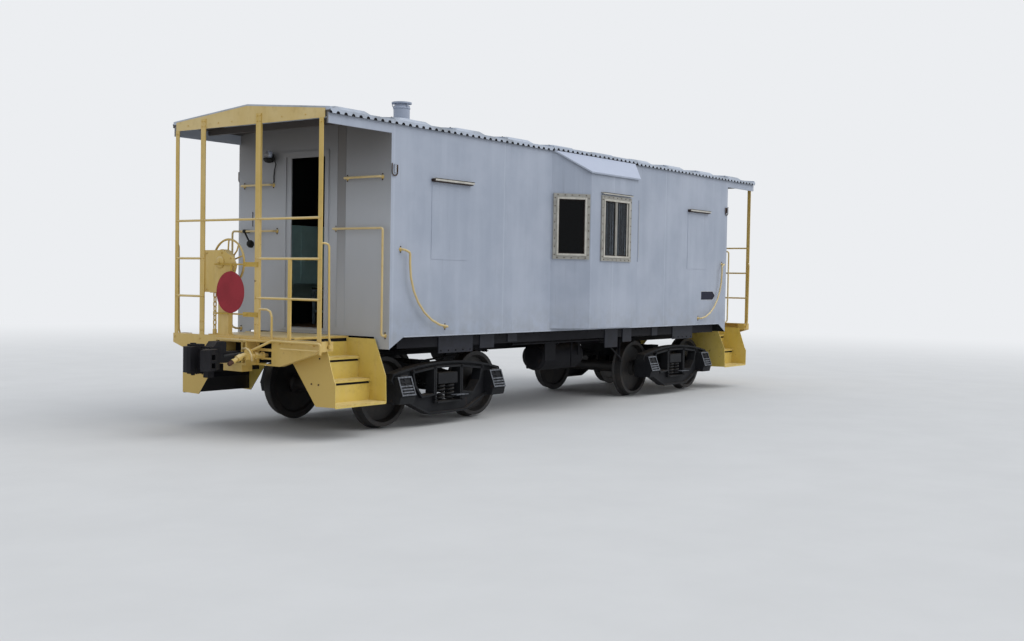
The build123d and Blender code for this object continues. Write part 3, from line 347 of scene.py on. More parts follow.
# %% Black finishes
def asphalt_black(name, dark, dusty, grain_mm, depth_mm):
    paint = Finish(name, 0.72, dark, specular=0.25)
    paint.coat(dusty, paint.spots(260, 0.35, 0.7))
    lying = paint.add("line", paint.looks("Z"), 0.35, 0.95)
    paint.coat("#4c453d", paint.add("*", lying, paint.spots(70, 0.25, 0.65)), 0.7)
    paint.coat("#4b3327", paint.spots(120, 0.62, 0.74, 6.0, 0.68), 0.5)
    paint.relief(paint.spots(grain_mm, 0.25, 0.75, 3.0), depth_mm)
    return paint.done()


# Sand grain is about 1 mm, and is drawn at 12 mm so that it shows
cast_black = asphalt_black("cast_steel_asphalt_paint", "#18191d", "#232426", 12, 0.9)
sill_black = asphalt_black("rolled_steel_asphalt_paint", "#0c0c13", "#15151a", 30, 0.4)
coupler_black = asphalt_black("cast_steel_greasy", "#17171b", "#222226", 12, 0.9)

# %% [markdown]
# ## Wheels
# A wheel is bare forged steel with years of brake dust and oil on its plate,
# so it is nearly black, brown in patches, and only a little glossy. The rings
# left by the wheel lathe run round the axle. The distance from the axle would
# need each wheel's own centre, so a fine even pitting stands for them.

# %% Wheel finish
paint = Finish("forged_steel_brake_dust", 0.6, "#1a1a1b")
paint.coat("#2e2925", paint.spots(190, 0.4, 0.7))
paint.coat("#4a3528", paint.spots(45, 0.56, 0.72, 6.0, 0.7), 0.55)
paint.relief(paint.spots(14, 0.25, 0.75), 0.5)
wheel_steel = paint.done()

# %% [markdown]
# ## Small finishes
# The rest are thin or half hidden, and each still starts from its real
# material: glass with dust, mill aluminium gone dull, red enamel, boards,
# vinyl, rubber and bare steel. Behind the panes it is dark, and the glass is
# tinted near black as painted shade of it. A film of dust dulls what the panes
# mirror, so their IOR is set below that of clean glass. On the front panes,
# pale blue grey runs are a painted reflection.

# %% Glass
FRONT_PANES = 1.60        # the front panes of the bays lie further out than this
# The glass is tinted near black: painted shade of the dim cabin behind it
pane = Finish("float_glass_dusty_with_painted_shade_and_reflection", 0.06, "#14171a")
pane.shader.inputs["Transmission Weight"].default_value = 0.8
pane.shader.inputs["IOR"].default_value = 1.2
in_front = pane.add(">", pane.add("abs", pane.add("Y", pane.place)), FRONT_PANES)
# Pale blue grey runs on the front panes: a painted reflection
pane.coat("#8593a0", pane.add("*", pane.streaks(24, 1500, 0.42, 0.66), in_front))
glass = pane.done(pane.add("line", pane.spots(180, 0.3, 0.8), 0.0, 1.0, 0.03, 0.22))


# %% Metal, enamel, wood and vinyl
def plain_finish(name, light, dark, size, roughness, metallic=0.0, split=None):
    """A base colour with darker patches of a real size, and relief to match.

    Split is an axis, a place on it and the colour of what lies beyond that place.
    """
    paint = Finish(name, roughness, light, metallic, 0.35)
    paint.coat(dark, paint.spots(size, 0.35, 0.7))
    if split:
        axis, start, other = split
        paint.coat(other, paint.add("curve", paint.add(axis, paint.place), start, start + 0.01))
    paint.relief(paint.spots(size / 8, 0.25, 0.75), 0.3)
    return paint.done()


sash_metal = plain_finish("mill_aluminium_oxidised", "#c4c0b6", "#b1ada2", 90, 0.45, 0.2)
# Beyond x 0.66 the frame is painted as pale as the wall: painted light over its shaded edge
frame_steel = plain_finish("weathered_frame_paint_with_painted_light", "#a09e96", "#8f8c84", 70, 0.6,
                           split=("X", 0.66, "#a2a9b6"))
bolt_steel = plain_finish("rusted_bolt_steel", "#5d4a3c", "#33281f", 20, 0.7, 0.3)
# A darker aluminium paint: painted shade for rods under the canopy
shaded_grey_paint = plain_finish("aluminium_paint_shaded_grey", "#73757a", "#66676b", 300, 0.6)
# Pale chalky paint; on the sill fold it is also a painted highlight
chalky_and_highlight_paint = plain_finish("aluminium_paint_chalky_and_highlight", "#b4bac4", "#a4aab4", 60, 0.6)
navy_plate = plain_finish("navy_grey_enamel", "#1f212b", "#181920", 120, 0.6)
hose_rubber = plain_finish("perished_brown_rubber", "#5a3d30", "#3c2a22", 25, 0.8)
seat_vinyl = plain_finish("dark_green_vinyl", "#2b3430", "#1d2421", 30, 0.5)
stove_iron = plain_finish("grey_cast_iron", "#262626", "#191818", 40, 0.7, 0.4)
locker_green = plain_finish("pale_green_enamel", "#b6dcdc", "#aad0d0", 200, 0.5)
cabin_green = plain_finish("green_enamel_interior", "#4f6a60", "#3f564e", 200, 0.5)
rubber = plain_finish("aged_black_rubber", "#33241f", "#1f1817", 30, 0.8)
brass = plain_finish("tarnished_brass", "#8d7440", "#5d4c2b", 25, 0.4, 0.8)
sign_navy = plain_finish("navy_enamel_plate", "#15172e", "#101224", 80, 0.7)
sign_white = plain_finish("white_enamel_line", "#c9ccd2", "#a9acb0", 60, 0.5)
lid_grey = plain_finish("grey_primer_worn", "#6f7278", "#45474b", 35, 0.6)
worn_nose = plain_finish("yellow_enamel_scuffed", "#d8bf78", "#c4a355", 60, 0.5)
chair_vinyl = plain_finish("green_vinyl_on_steel_legs", "#8fa0a8", "#7b8b93", 60, 0.5,
                           split=("Z", 1.62, "#222a27"))
floor_boards = plain_finish("oiled_pine_boards", "#6a4c33", "#47321f", 120, 0.65)

# %% The red disc, with the yellow bars and brackets of its hanger
DISC_Y, DISC_Z, DISC_R = 0.205, 1.599, 0.240
paint = Finish("signal_red_enamel", 0.6, "#9b2f38", specular=0.2)
paint.coat("#8e2a32", paint.spots(140, 0.35, 0.7))
x, y, z = (paint.add(axis, paint.place) for axis in "XYZ")
side = paint.add("*", paint.add("sign", x), -1.0)
across = paint.add("-", paint.add("*", y, side), DISC_Y)
up = paint.add("-", z, DISC_Z)
off = paint.add("+", paint.add("**", across, 2.0), paint.add("**", up, 2.0))
hanger = paint.add("mix", paint.spots(90, 0.35, 0.7), colour("#c8a854"), colour("#b3923f"))
paint.colour = paint.add("mix", paint.add(">", off, DISC_R ** 2), paint.colour, hanger)
paint.relief(paint.spots(18, 0.25, 0.75), 0.3)
red_enamel = paint.done()

# %% [markdown]
# ## Which node gets which finish
# The CAD nodes arrive with a plain colour each. A short table, read from the
# top, gives each node the first finish whose words start its name.

# %% Dress the CAD nodes
FINISHES = [
    (end_paint, ("end_wall",)),
    (wall_paint, ("side_wall", "bay_near", "bay_far")),
    (trim_paint, ("window_blanks", "canopy_boards", "chimney")),
    (roof_paint, ("roof",)),
    (step_paint, ("steps",)),
    (fascia_paint, ("canopy_ends",)),
    (yellow_worn, ("platform",)),
    (rail_paint, ("railings",)),
    (yellow_paint, ("hand_brake", "brake_pipes")),
    (yellow_faded, ("end_grab", "side_grab")),
    (lever_paint, ("cut_levers",)),
    (red_enamel, ("end_discs",)),
    (coupler_black, ("coupler",)),
    (cast_black, ("side_frames", "bolster", "springs", "brake_beams")),
    (sill_black, ("underframe", "side_sills", "cross_bearers", "train_pipe", "air_reservoir",
                  "brake_cylinder")),
    (navy_plate, ("sill_plates",)),
    (wheel_steel, ("wheelset",)),
    (glass, ("glass", "door_glass")),
    (frame_steel, ("window_frames",)),
    (floor_boards, ("floor",)),
    (seat_vinyl, ("bay_seats",)),
    (chair_vinyl, ("chair",)),
    (stove_iron, ("stove",)),
    (cabin_green, ("door",)),
    (locker_green, ("lockers",)),
]
undressed = []
for name, node in nodes.items():
    fitting = [material for material, starts in FINISHES if name.startswith(starts)]
    if fitting:
        node.data.materials.clear()
        node.data.materials.append(fitting[0])
    else:
        undressed.append(name)
print("CAD nodes without a finish:", undressed)

# %% [markdown]
# ## Shapes for the trim
# Trim is made in mesh code, in the same metres as the CAD. Five shapes do for
# nearly all of it: a slab, a turned shape, a shape cut from flat stock, a tube
# along a path, and a closed band round an opening. Each adds its faces to a
# mesh that several like pieces share, because a row of bolts is one piece to a
# reader and to Blender alike.

# %% Slab, flat shape and turned shape
def slab(mesh, low, high, place=Matrix()):
    """A box between two corners, moved by the matrix place."""
    low, high = Vector(low), Vector(high)
    matrix = Matrix.Translation((low + high) / 2) @ Matrix.Diagonal((*(high - low), 1.0))
    bmesh.ops.create_cube(mesh, size=1.0, matrix=place @ matrix)


def skin(mesh, rings, smooth):
    """Faces from ring to ring of corners, and one over each end."""
    rings = [[mesh.verts.new(point) for point in ring] for ring in rings]
    for lower, upper in zip(rings, rings[1:]):
        for step in range(len(lower)):
            after = (step + 1) % len(lower)
            face = mesh.faces.new((lower[step], lower[after], upper[after], upper[step]))
            face.smooth = smooth
    mesh.faces.new(rings[0][::-1])
    mesh.faces.new(rings[-1])


def circle(steps):
    return [2 * math.pi * step / steps for step in range(steps)]


def lathe(mesh, outline, place, steps=12):
    """(radius, height) points turned about the Z axis of the matrix place."""
    rings = [[place @ Vector((radius * math.cos(a), radius * math.sin(a), height)) for a in circle(steps)]
             for radius, height in outline]
    skin(mesh, rings, steps > 8)


def plate(mesh, outline, lift):
    """A shape cut from flat stock: its outline, and the same one moved by lift."""
    skin(mesh, [[Vector(point) + Vector(shift) for point in outline] for shift in ((0, 0, 0), lift)], False)


def facing(at, direction):
    """A matrix that puts a shape's foot at a point, with its Z along a direction."""
    return Matrix.Translation(at) @ Vector(direction).to_track_quat("Z", "Y").to_matrix().to_4x4()


# %% Tube, arc and band
def tube(mesh, points, radius, sides=8):
    """A round bar through the points, with closed ends."""
    points = [Vector(point) for point in points]
    ways = [(after - before).normalized() for before, after in zip(points, points[1:])]
    ways = [ways[0]] + [(a + b).normalized() for a, b in zip(ways, ways[1:])] + [ways[-1]]
    out = ways[0].orthogonal().normalized()
    rings = []
    for index, (point, way) in enumerate(zip(points, ways)):
        if index:
            out = ways[index - 1].rotation_difference(way) @ out
        across = way.cross(out)
        rings.append([point + (out * math.cos(a) + across * math.sin(a)) * radius for a in circle(sides)])
    skin(mesh, rings, True)


def arc(centre, radius, start, end, steps, plane):
    """Points of an arc, in degrees. The plane names its two axes, such as XZ."""
    first, second = ("XYZ".index(letter) for letter in plane)
    points = []
    for step in range(steps + 1):
        angle = math.radians(start + (end - start) * step / steps)
        point = Vector(centre)
        point[first] += radius * math.cos(angle)
        point[second] += radius * math.sin(angle)
        points.append(point)
    return points


def band(mesh, half, low, high, inner, outer, back, front, place):
    """A frame round an opening that is 2 x half wide: from inner to outer beyond
    its edge, and from back to front out of the wall."""
    for side in (-1, 1):
        x = sorted((side * (half + inner), side * (half + outer)))
        slab(mesh, (x[0], back, low - outer), (x[1], front, high + outer), place)
    for z in ((low - outer, low - inner), (high + inner, high + outer)):
        slab(mesh, (-half - inner, back, z[0]), (half + inner, front, z[1]), place)


# %% Copies and the finished piece
def again(mesh):
    """Everything so far once more: its new corners and faces."""
    made = bmesh.ops.duplicate(mesh, geom=mesh.verts[:] + mesh.edges[:] + mesh.faces[:])["geom"]
    return [[item for item in made if isinstance(item, kind)]
            for kind in (bmesh.types.BMVert, bmesh.types.BMFace)]


def finish_piece(name, mesh, material, slot="body_enamel", copies="", body="car_body", bevel_mm=0.0):
    """Turns the mesh into an object that rides on a body.

    Copies may be far, a mirror image on the far side, and then end, all of it
    turned half round to the right end.
    """
    if "far" in copies:
        points, faces = again(mesh)
        bmesh.ops.scale(mesh, vec=(1, -1, 1), verts=points)
        bmesh.ops.reverse_faces(mesh, faces=faces)
    if "end" in copies:
        points, faces = again(mesh)
        bmesh.ops.rotate(mesh, matrix=Matrix.Rotation(math.pi, 3, "Z"), verts=points)
    data = bpy.data.meshes.new(name)
    bmesh.ops.recalc_face_normals(mesh, faces=mesh.faces)
    mesh.to_mesh(data)
    mesh.free()
    data.materials.append(material)
    piece = bpy.data.objects.new(name, data)
    bpy.context.scene.collection.objects.link(piece)
    if bevel_mm:
        rounded = piece.modifiers.new("rounded_edges", "BEVEL")
        rounded.width = bevel_mm / 1000
        rounded.segments = 2
        rounded.limit_method = "ANGLE"
    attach(piece, body)
    print(name, "faces:", len(data.polygons))
    return piece


# %% [markdown]
# ## Where things are
# The trim stands on CAD faces. Their places come from the frame's own boxes
# where one gives them, and otherwise are written here once, in metres, by the
# same names as on a drawing of the car. The left end and the near side are
# written, and the rest follows by mirroring and turning. A length that only one
# piece needs stands in that piece's own lines, in metres too.

# %% Places
END_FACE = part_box("end_wall_left")[0].x + 0.014      # behind the door's casing
SIDE_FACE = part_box("side_wall_near")[0].y
SILL_EDGE = 1.115
ROOF_EDGE_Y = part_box("roof")[1].y
ROOF_HALF = 5.175
EAVE = 3.537
POST_FRONT, BEAM_FRONT = -5.195, -5.200
FASCIA_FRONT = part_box("canopy_ends")[0].x
BROAD_POSTS = (-0.212, 0.734)
RAILS = (1.542, 1.981, 2.421)
TRUCK = 2.877             # from the middle of the car to that of a truck
AXLE_HALF = 0.872         # and from there to an axle
BAY_MIDDLE, BAY_BASE_HALF = 0.043, 1.058
AHEAD, ASIDE, ABOVE = (-1, 0, 0), (0, -1, 0), (0, 0, 1)     # out of the end, out of the side, up
YELLOW, BLACK, GREY = "yellow_enamel", "running_gear_black", "frame_grey"     # slot names, which finish_piece takes but does not use
print("end wall at", round(END_FACE, 3), "side wall at", round(SIDE_FACE, 3))

# %% [markdown]
# ## Eave
# The roof panels end in a pressed strip that laps over the side wall. It is
# crimped about every 115 mm, and each crimp leaves a small arched mouth at the
# foot of the strip. From the ground the row of dark mouths is the most lively
# line on the car. The strip is cut cell by cell, each with half of an arch on
# either side, and hangs in front of a black strip that is painted shade in the
# hollow behind it.

# %% Crimped eave strip
CRIMP_PITCH = 0.115
MOUTH = 0.028             # height of a mouth, and half its width
STRIP_LOW, STRIP_TALL, HOLLOW_TALL = EAVE - 0.012, 0.048, 0.040
OVER_BAY = 0.018          # the strip is lifted over the roofs of the bays
half = CRIMP_PITCH / 2
cell = [(half, STRIP_TALL), (-half, STRIP_TALL)]     # the strip between two mouths, as (along, up)
for side in (-1, 1):
    cell += [(side * (half - MOUTH * math.sin(a)), MOUTH * math.cos(a))
             for a in (0.0, 0.5, 1.0, math.pi / 2)][::-side]
strip = bmesh.new()
for index in range(int(2 * ROOF_HALF / CRIMP_PITCH)):
    x = (index + 0.5) * CRIMP_PITCH - ROOF_HALF
    low = STRIP_LOW + (OVER_BAY if abs(x - BAY_MIDDLE) < BAY_BASE_HALF else 0.0)
    plate(strip, [(x + along, -ROOF_EDGE_Y - 0.014, low + up) for along, up in cell], (0, 0.006, 0))
finish_piece("eave_strip", strip, roof_paint, "roof_enamel", "far")

# A black strip behind the crimps: painted shade of the hollow
hollow = bmesh.new()
top = STRIP_LOW + HOLLOW_TALL
slab(hollow, (-ROOF_HALF, -ROOF_EDGE_Y - 0.008, STRIP_LOW), (ROOF_HALF, -ROOF_EDGE_Y, top))
slab(hollow, (BAY_MIDDLE - BAY_BASE_HALF, -ROOF_EDGE_Y - 0.008, top),
     (BAY_MIDDLE + BAY_BASE_HALF, -ROOF_EDGE_Y, top + OVER_BAY))
finish_piece("eave_hollow_shade", hollow, sill_black, BLACK, "far")

# %% [markdown]
# ## Window sashes
# Each bay has one wide window in front and one narrow one in each slanted
# side. The steel frame is CAD. Inside it sits an aluminium sash of angle
# section, paler than the frame, with a rubber seal against the glass. The
# front window slides, so it has two panes whose stiles meet off its middle.
# The frame is screwed on with rusty heads. A rolled gutter over the front
# window throws rain clear of the glass.

# %% Places of the windows
BAY_FRONT_HALF, BAY_DEPTH = 0.615, 0.344
BAY_ANGLE = math.atan2(BAY_DEPTH, BAY_BASE_HALF - BAY_FRONT_HALF)
SLANT_MIDDLE = (BAY_BASE_HALF + BAY_FRONT_HALF) / 2
FRAME_FACE = -0.020       # front of the CAD frame, out of the bay's wall
FRONT = SIDE_FACE - BAY_DEPTH
FRONT_WINDOW = BAY_MIDDLE + 0.020


def on_wall(x, y, turn):
    """A matrix with X along a wall, Y into the cabin and Z up."""
    return Matrix.Translation((x, y, 0)) @ Matrix.Rotation(turn, 4, "Z")


# Place, half width, lower edge and upper edge of each glass
WINDOWS = [(on_wall(FRONT_WINDOW, FRONT, 0), 0.330, 2.135, 2.915)]
for side in (-1, 1):
    slanted = on_wall(BAY_MIDDLE + side * SLANT_MIDDLE, SIDE_FACE - BAY_DEPTH / 2, side * BAY_ANGLE)
    WINDOWS.append((slanted, 0.200, 2.145, 2.905))
print("the bay's sides slant by", round(math.degrees(BAY_ANGLE), 1), "degrees")

# %% Sashes, seals and sliding panes
# A band runs from and to so far beyond the glass's edge, then from and to so far out of the wall
sashes = bmesh.new()
seals = bmesh.new()
for place, half, low, high in WINDOWS:
    band(sashes, half, low, high, -0.014, 0.012, FRAME_FACE - 0.010, FRAME_FACE + 0.002, place)
    band(seals, half, low, high, -0.026, -0.014, -0.008, -0.001, place)
place, half, low, high = WINDOWS[0]
for x, wide in ((-0.024, 0.024), (0.0, 0.024), (half - 0.050, 0.024), (-half + 0.016, 0.020)):
    slab(sashes, (x, -0.012, low + 0.016), (x + wide, -0.002, high - 0.016), place)
finish_piece("window_sashes", sashes, sash_metal, GREY, "far", bevel_mm=2)
finish_piece("window_seals", seals, rubber, GREY, "far")


# %% Screws round the frames
def screw(mesh, at, direction, radius=0.008, tall=0.006):
    """A domed head."""
    outline = [(radius, 0), (radius, tall * 0.4), (radius * 0.6, tall), (radius * 0.2, tall * 1.1)]
    lathe(mesh, outline, facing(at, direction), 8)


def spaced(start, end, pitch):
    """Even steps from start to end, about a pitch apart."""
    count = max(1, round(abs(end - start) / pitch))
    return [start + (end - start) * step / count for step in range(count + 1)]


EDGE, SCREW_PITCH = 0.040, 0.11
screws = bmesh.new()
for place, half, low, high in WINDOWS[:2]:
    out = place.to_3x3() @ Vector(ASIDE)
    around = [(x, z) for z in (low - EDGE, high + EDGE) for x in spaced(-half, half, SCREW_PITCH)]
    around += [(side * (half + EDGE), z) for side in (-1, 1) for z in spaced(low, high, SCREW_PITCH)]
    for x, z in around:
        screw(screws, place @ Vector((x, FRAME_FACE, z)), out)
finish_piece("window_screws", screws, bolt_steel, GREY, "far")

# %% Gutter over the front window
gutter = bmesh.new()
start, end, z = FRONT_WINDOW - 0.395, FRONT_WINDOW + 0.395, 3.006
slab(gutter, (start, FRONT - 0.042, z), (end, FRONT, z + 0.010))
slab(gutter, (start, FRONT - 0.042, z - 0.014), (end, FRONT - 0.036, z + 0.010))
finish_piece("bay_drip_rails", gutter, sash_metal, GREY, "far", bevel_mm=1.5)

# %% [markdown]
# ## The wall's lower edge
# Along the foot of the wall the sheet is turned in over the sill, and the fold
# catches the light as a thin pale line from end to end. A narrow strip that
# stands proud by a few millimetres, in a paler paint as a painted highlight,
# stands for that.

# %% Folded edge
fold = bmesh.new()
slab(fold, (-3.940, SIDE_FACE - 0.004, SILL_EDGE - 0.004), (3.940, SIDE_FACE + 0.004, SILL_EDGE + 0.010))
finish_piece("sill_fold", fold, chalky_and_highlight_paint, copies="far", bevel_mm=1.5)

# %% [markdown]
# ## Grab iron feet
# A grab iron is a bent bar whose ends are forged flat and bolted through the
# wall. The foot reads as a small flared collar with a nut on each side of it,
# brown where the paint has cracked. The bars are CAD, so only their feet are
# added, at each place where a bar meets a wall. One far bar goes on round the
# corner's edge and down to the deck, and that handrail is added whole.

# %% Feet
END_FEET = [(-0.605, 2.935), (-1.158, 2.935), (1.180, 2.902), (0.650, 2.902), (0.580, 2.338),
            (-0.430, 2.352), (-1.228, 1.135), (1.225, 1.128)]
LAST = math.radians(87)   # where the side grab iron's arc ends
SIDE_FEET = [(-4.015, 2.118), (-3.170 - 0.745 * math.cos(LAST), 1.965 - 0.745 * math.sin(LAST))]


def grab_feet(ending, feet):
    """Flared collars with a nut above and below, at places with the way each looks."""
    collars = bmesh.new()
    nuts = bmesh.new()
    flare = [(0.024, 0), (0.024, 0.004), (0.018, 0.008), (0.0145, 0.016), (0.0140, 0.017)]
    for at, direction in feet:
        lathe(collars, flare, facing(at, direction), 16)
        for shift in (-0.031, 0.031):
            place = facing(Vector(at) + Vector((0, 0, shift)), direction)
            lathe(nuts, [(0.009, 0), (0.009, 0.006), (0.005, 0.008)], place, 6)
    finish_piece("grab_feet" + ending, collars, yellow_worn, YELLOW, "end")
    finish_piece("grab_nuts" + ending, nuts, bolt_steel, YELLOW, "end")


on_end = [((END_FACE, y, z), AHEAD) for y, z in END_FEET]
grab_feet("", on_end + [((x, SIDE_FACE, z), ASIDE) for x, z in SIDE_FEET])
grab_feet("_far", [((x, -SIDE_FACE, z), (0, 1, 0)) for x, z in SIDE_FEET])

# %% Corner handrail
rail = bmesh.new()
x, y = -4.296, 1.275
bend = arc((x, y - 0.035, 2.303), 0.035, 90, 0, 5, "YZ")
foot_bend = [(x, y, 1.175), (x + 0.012, y - 0.006, 1.148), (x + 0.045, y - 0.022, 1.130),
             (END_FACE, 1.225, 1.128)]
tube(rail, [(-4.252, 1.165, 2.338), (-4.262, 1.190, 2.338)] + bend + foot_bend, 0.013, 10)
finish_piece("corner_handrails", rail, yellow_faded, YELLOW, "end")

# %% [markdown]
# ## Bolts of the end frame
# The posts are bolted to the fascia, to each rail and to the end beam, with
# nuts painted over in yellow. A nut is the same turned shape as a screw, with
# six sides, so one function over a list of places does it all.

# %% Bolts on the posts, the fascia, the beam and the steps
def add_nuts(mesh, places, direction, size):
    outline = [(size, 0), (size, size * 0.7), (size * 0.55, size * 0.75), (size * 0.5, size * 1.2)]
    for at in places:
        lathe(mesh, outline, facing(at, direction), 6)


bolts = bmesh.new()
heights = (1.150, 1.250, *RAILS, 3.505, 3.565)
pairs = [(POST_FRONT, y + shift, z) for y in BROAD_POSTS for z in heights for shift in (-0.022, 0.022)]
add_nuts(bolts, pairs, AHEAD, 0.010)
add_nuts(bolts, [(POST_FRONT, y, z) for y in (-1.202, 1.202) for z in (*RAILS, 3.440)], AHEAD, 0.011)
add_nuts(bolts, [(FASCIA_FRONT, y, 3.530) for y in (-0.95, -0.58, 0.25, 0.48, 1.02)], AHEAD, 0.009)
on_beam = ((-0.786, 1.050), (-1.225, 1.057), (-0.923, 0.985), (0.760, 1.05), (1.220, 1.055))
add_nuts(bolts, [(BEAM_FRONT, y, z) for y, z in on_beam], AHEAD, 0.012)
finish_piece("end_frame_bolts", bolts, yellow_worn, YELLOW, "end")

bolts = bmesh.new()
on_stringer = ((-0.923, 0.616), (-1.031, 0.613), (-1.045, 0.900), (-0.80, 0.905))
add_nuts(bolts, [(-5.025, y, z) for y, z in on_stringer], AHEAD, 0.010)
finish_piece("stringer_bolts", bolts, bolt_steel, YELLOW, "far end")

# %% [markdown]
# ## Tread noses
# Boots scrape the front edge of each step down to old cream paint. A thin
# scuffed strip along the nose is a separate piece with its own finish, which
# keeps the wear where feet are, instead of all over the steel. Angle irons
# behind the risers and under the deck's edge close the gaps, and thin black
# strips under the noses of the upper treads are painted shadow.

# %% Noses and backing
STEP_START, STEP_END = -5.010, -4.230
noses = bmesh.new()
for front, top in ((-1.286, 0.398), (-1.046, 0.645), (-0.869, 0.890)):
    slab(noses, (STEP_START, front - 0.0015, top - 0.013), (STEP_END, front + 0.022, top + 0.0015))
slab(noses, (-5.098, -0.652, 1.100), (-4.30, -0.640, 1.1135))
finish_piece("tread_noses", noses, worn_nose, YELLOW, "far end", bevel_mm=1.2)

backing = bmesh.new()
for y, low, high in ((-1.019, 0.560, 0.637), (-0.842, 0.800, 0.882), (-0.640, 0.990, 1.092)):
    slab(backing, (STEP_START, y, low), (STEP_END, y + 0.006, high))
    slab(backing, (STEP_START, y, high - 0.006), (STEP_END, y + 0.040, high))
# Thin black strips under the upper treads' noses: painted shadow
for y, low in ((-1.0285, 0.588), (-0.8515, 0.834)):
    slab(backing, (STEP_START, y, low), (STEP_END, y + 0.012, low + 0.016))
finish_piece("step_backing_and_painted_shadows", backing, sill_black, BLACK, "far end")

# %% [markdown]
# ## Lamp, valve lever and marker brackets
# A few small fittings break the plain end wall: a lamp, dark below and pale on
# top, held in a yoke with its cable clipped to the wall, and the conductor's
# valve lever with a pear shaped knob. A strap beside the door stiffens the
# wall, and a worn threshold plate is folded over its foot. Near each corner of
# the side walls is a bracket for a marker lamp. What is round is turned, and
# the rest is slabs and bent tubes.

# %% Lamp with its cable
LAMP = Vector((-4.262, 0.655, 3.215))     # where its bowl meets its top
bowl = bmesh.new()
outline = [(0.020, -0.050), (0.048, -0.042), (0.068, -0.020), (0.072, 0.0), (0.066, 0.006)]
lathe(bowl, outline, facing(LAMP, ABOVE), 20)
for side in (-1, 1):
    start = LAMP + Vector((0, side * 0.066, -0.004))
    end = LAMP + Vector((0.010, side * 0.072, 0.050))
    tube(bowl, [start, (start + end) / 2, end], 0.009)
slab(bowl, LAMP + Vector((0.050, -0.012, -0.020)), (END_FACE, LAMP.y + 0.012, LAMP.z + 0.030))
clipped = ((0.024, 0.590, 3.150), (0.012, 0.628, 3.080), (0.010, 0.640, 3.000), (0.006, 0.640, 2.935))
cable = [LAMP + Vector((0.020, -0.066, -0.010))]
tube(bowl, cable + [(END_FACE - out, y, z) for out, y, z in clipped], 0.0065)
finish_piece("end_lamps", bowl, stove_iron, "stove_black", "end")
cap = bmesh.new()
lathe(cap, [(0.046, 0.006), (0.048, 0.050), (0.036, 0.084), (0.014, 0.094)], facing(LAMP, ABOVE), 20)
finish_piece("lamp_tops", cap, trim_paint, copies="end")

# %% Valve lever and its rod
lever = bmesh.new()
top, low = Vector((-4.262, 1.095, 2.338)), Vector((-4.262, 1.010, 2.222))
lathe(lever, [(0.022, -0.012), (0.024, 0.0), (0.022, 0.076)], facing(top, (1, 0, 0)))
tube(lever, [top, (top + low) / 2, low], 0.011)
knob = [(0.014, 0), (0.036, 0.018), (0.048, 0.046), (0.040, 0.078), (0.016, 0.100)]
lathe(lever, knob, facing(low, low - top), 16)
finish_piece("valve_levers", lever, stove_iron, "stove_black", "end")
rod = bmesh.new()
tube(rod, [(END_FACE - 0.008, 1.022, z) for z in (2.400, 2.490, 2.580)], 0.005)
finish_piece("valve_rods", rod, shaded_grey_paint, copies="end")

# %% Strap and threshold
strap = bmesh.new()
shade = bmesh.new()
slab(strap, (END_FACE - 0.007, -0.448, 1.200), (END_FACE, -0.440, 3.560))
# Beside the strap, a thin sheet in a darker paint is painted shade, darker towards its top
slab(shade, (END_FACE - 0.003, -0.578, 1.200), (END_FACE, -0.448, 3.560))
finish_piece("wall_straps", strap, end_paint, copies="end")
finish_piece("wall_strap_shade", shade, strap_shade_paint, copies="end")
threshold = bmesh.new()
slab(threshold, (END_FACE - 0.012, -0.270, 1.152), (END_FACE + 0.010, 0.450, 1.176))
slab(threshold, (END_FACE - 0.014, -0.270, 1.170), (END_FACE - 0.008, 0.450, 1.178))
finish_piece("door_sills", threshold, sash_metal, copies="end", bevel_mm=1.5)

# %% Marker brackets
loops = bmesh.new()
backs = bmesh.new()
x, y = -4.138, SIDE_FACE
slab(backs, (x - 0.040, y - 0.004, 2.965), (x + 0.040, y, 3.080))
slab(backs, (x - 0.014, y - 0.030, 2.985), (x + 0.008, y - 0.004, 3.070))
slab(loops, (x + 0.008, y - 0.032, 2.985), (x + 0.015, y - 0.004, 3.070))
loop = arc((x, y - 0.012, 2.990), 0.046, 180, 360, 10, "XZ")
tube(loops, [(x - 0.046, y - 0.012, 3.085)] + loop + [(x + 0.046, y - 0.012, 3.070)], 0.006)
finish_piece("marker_brackets", loops, bolt_steel, copies="far end")
finish_piece("marker_plates", backs, chalky_and_highlight_paint, copies="far end")

# %% [markdown]
# ## Drip rails of the blanked windows
# The drip rails of the old side windows have stayed over their blanks. The
# rails are CAD. What catches the eye is the pale rolled lip of each and the
# shadow under it, so a thin angle is laid on a rail, and two dark strips under
# it are painted shadow.

# %% Lips and painted shadows
lips = bmesh.new()
shadow_strips = bmesh.new()
for x, reach in ((-3.140, 0.400), (3.140, 0.360)):
    slab(lips, (x - 0.330, SIDE_FACE - 0.052, 2.943), (x + reach, SIDE_FACE - 0.042, 2.974))
    slab(lips, (x - 0.330, SIDE_FACE - 0.052, 2.964), (x + reach, SIDE_FACE, 2.974))
    # Two dark strips under each lip: painted shadow
    slab(shadow_strips, (x - 0.345, SIDE_FACE - 0.048, 2.928), (x + reach - 0.02, SIDE_FACE - 0.002, 2.940))
    slab(shadow_strips, (x - 0.352, SIDE_FACE - 0.048, 2.932), (x - 0.330, SIDE_FACE - 0.002, 2.962))
finish_piece("blank_lips", lips, sash_metal, copies="far", bevel_mm=1.5)
finish_piece("blank_shadow_strips", shadow_strips, rubber, copies="far")

# %% [markdown]
# ## The small plate
# Low on the right of the near side hangs a small navy plate, cut to a point at
# one end. It is plain but for the thin pale line round its edge, which is what
# an eye picks out of the long wall. The line is a larger plate behind it.

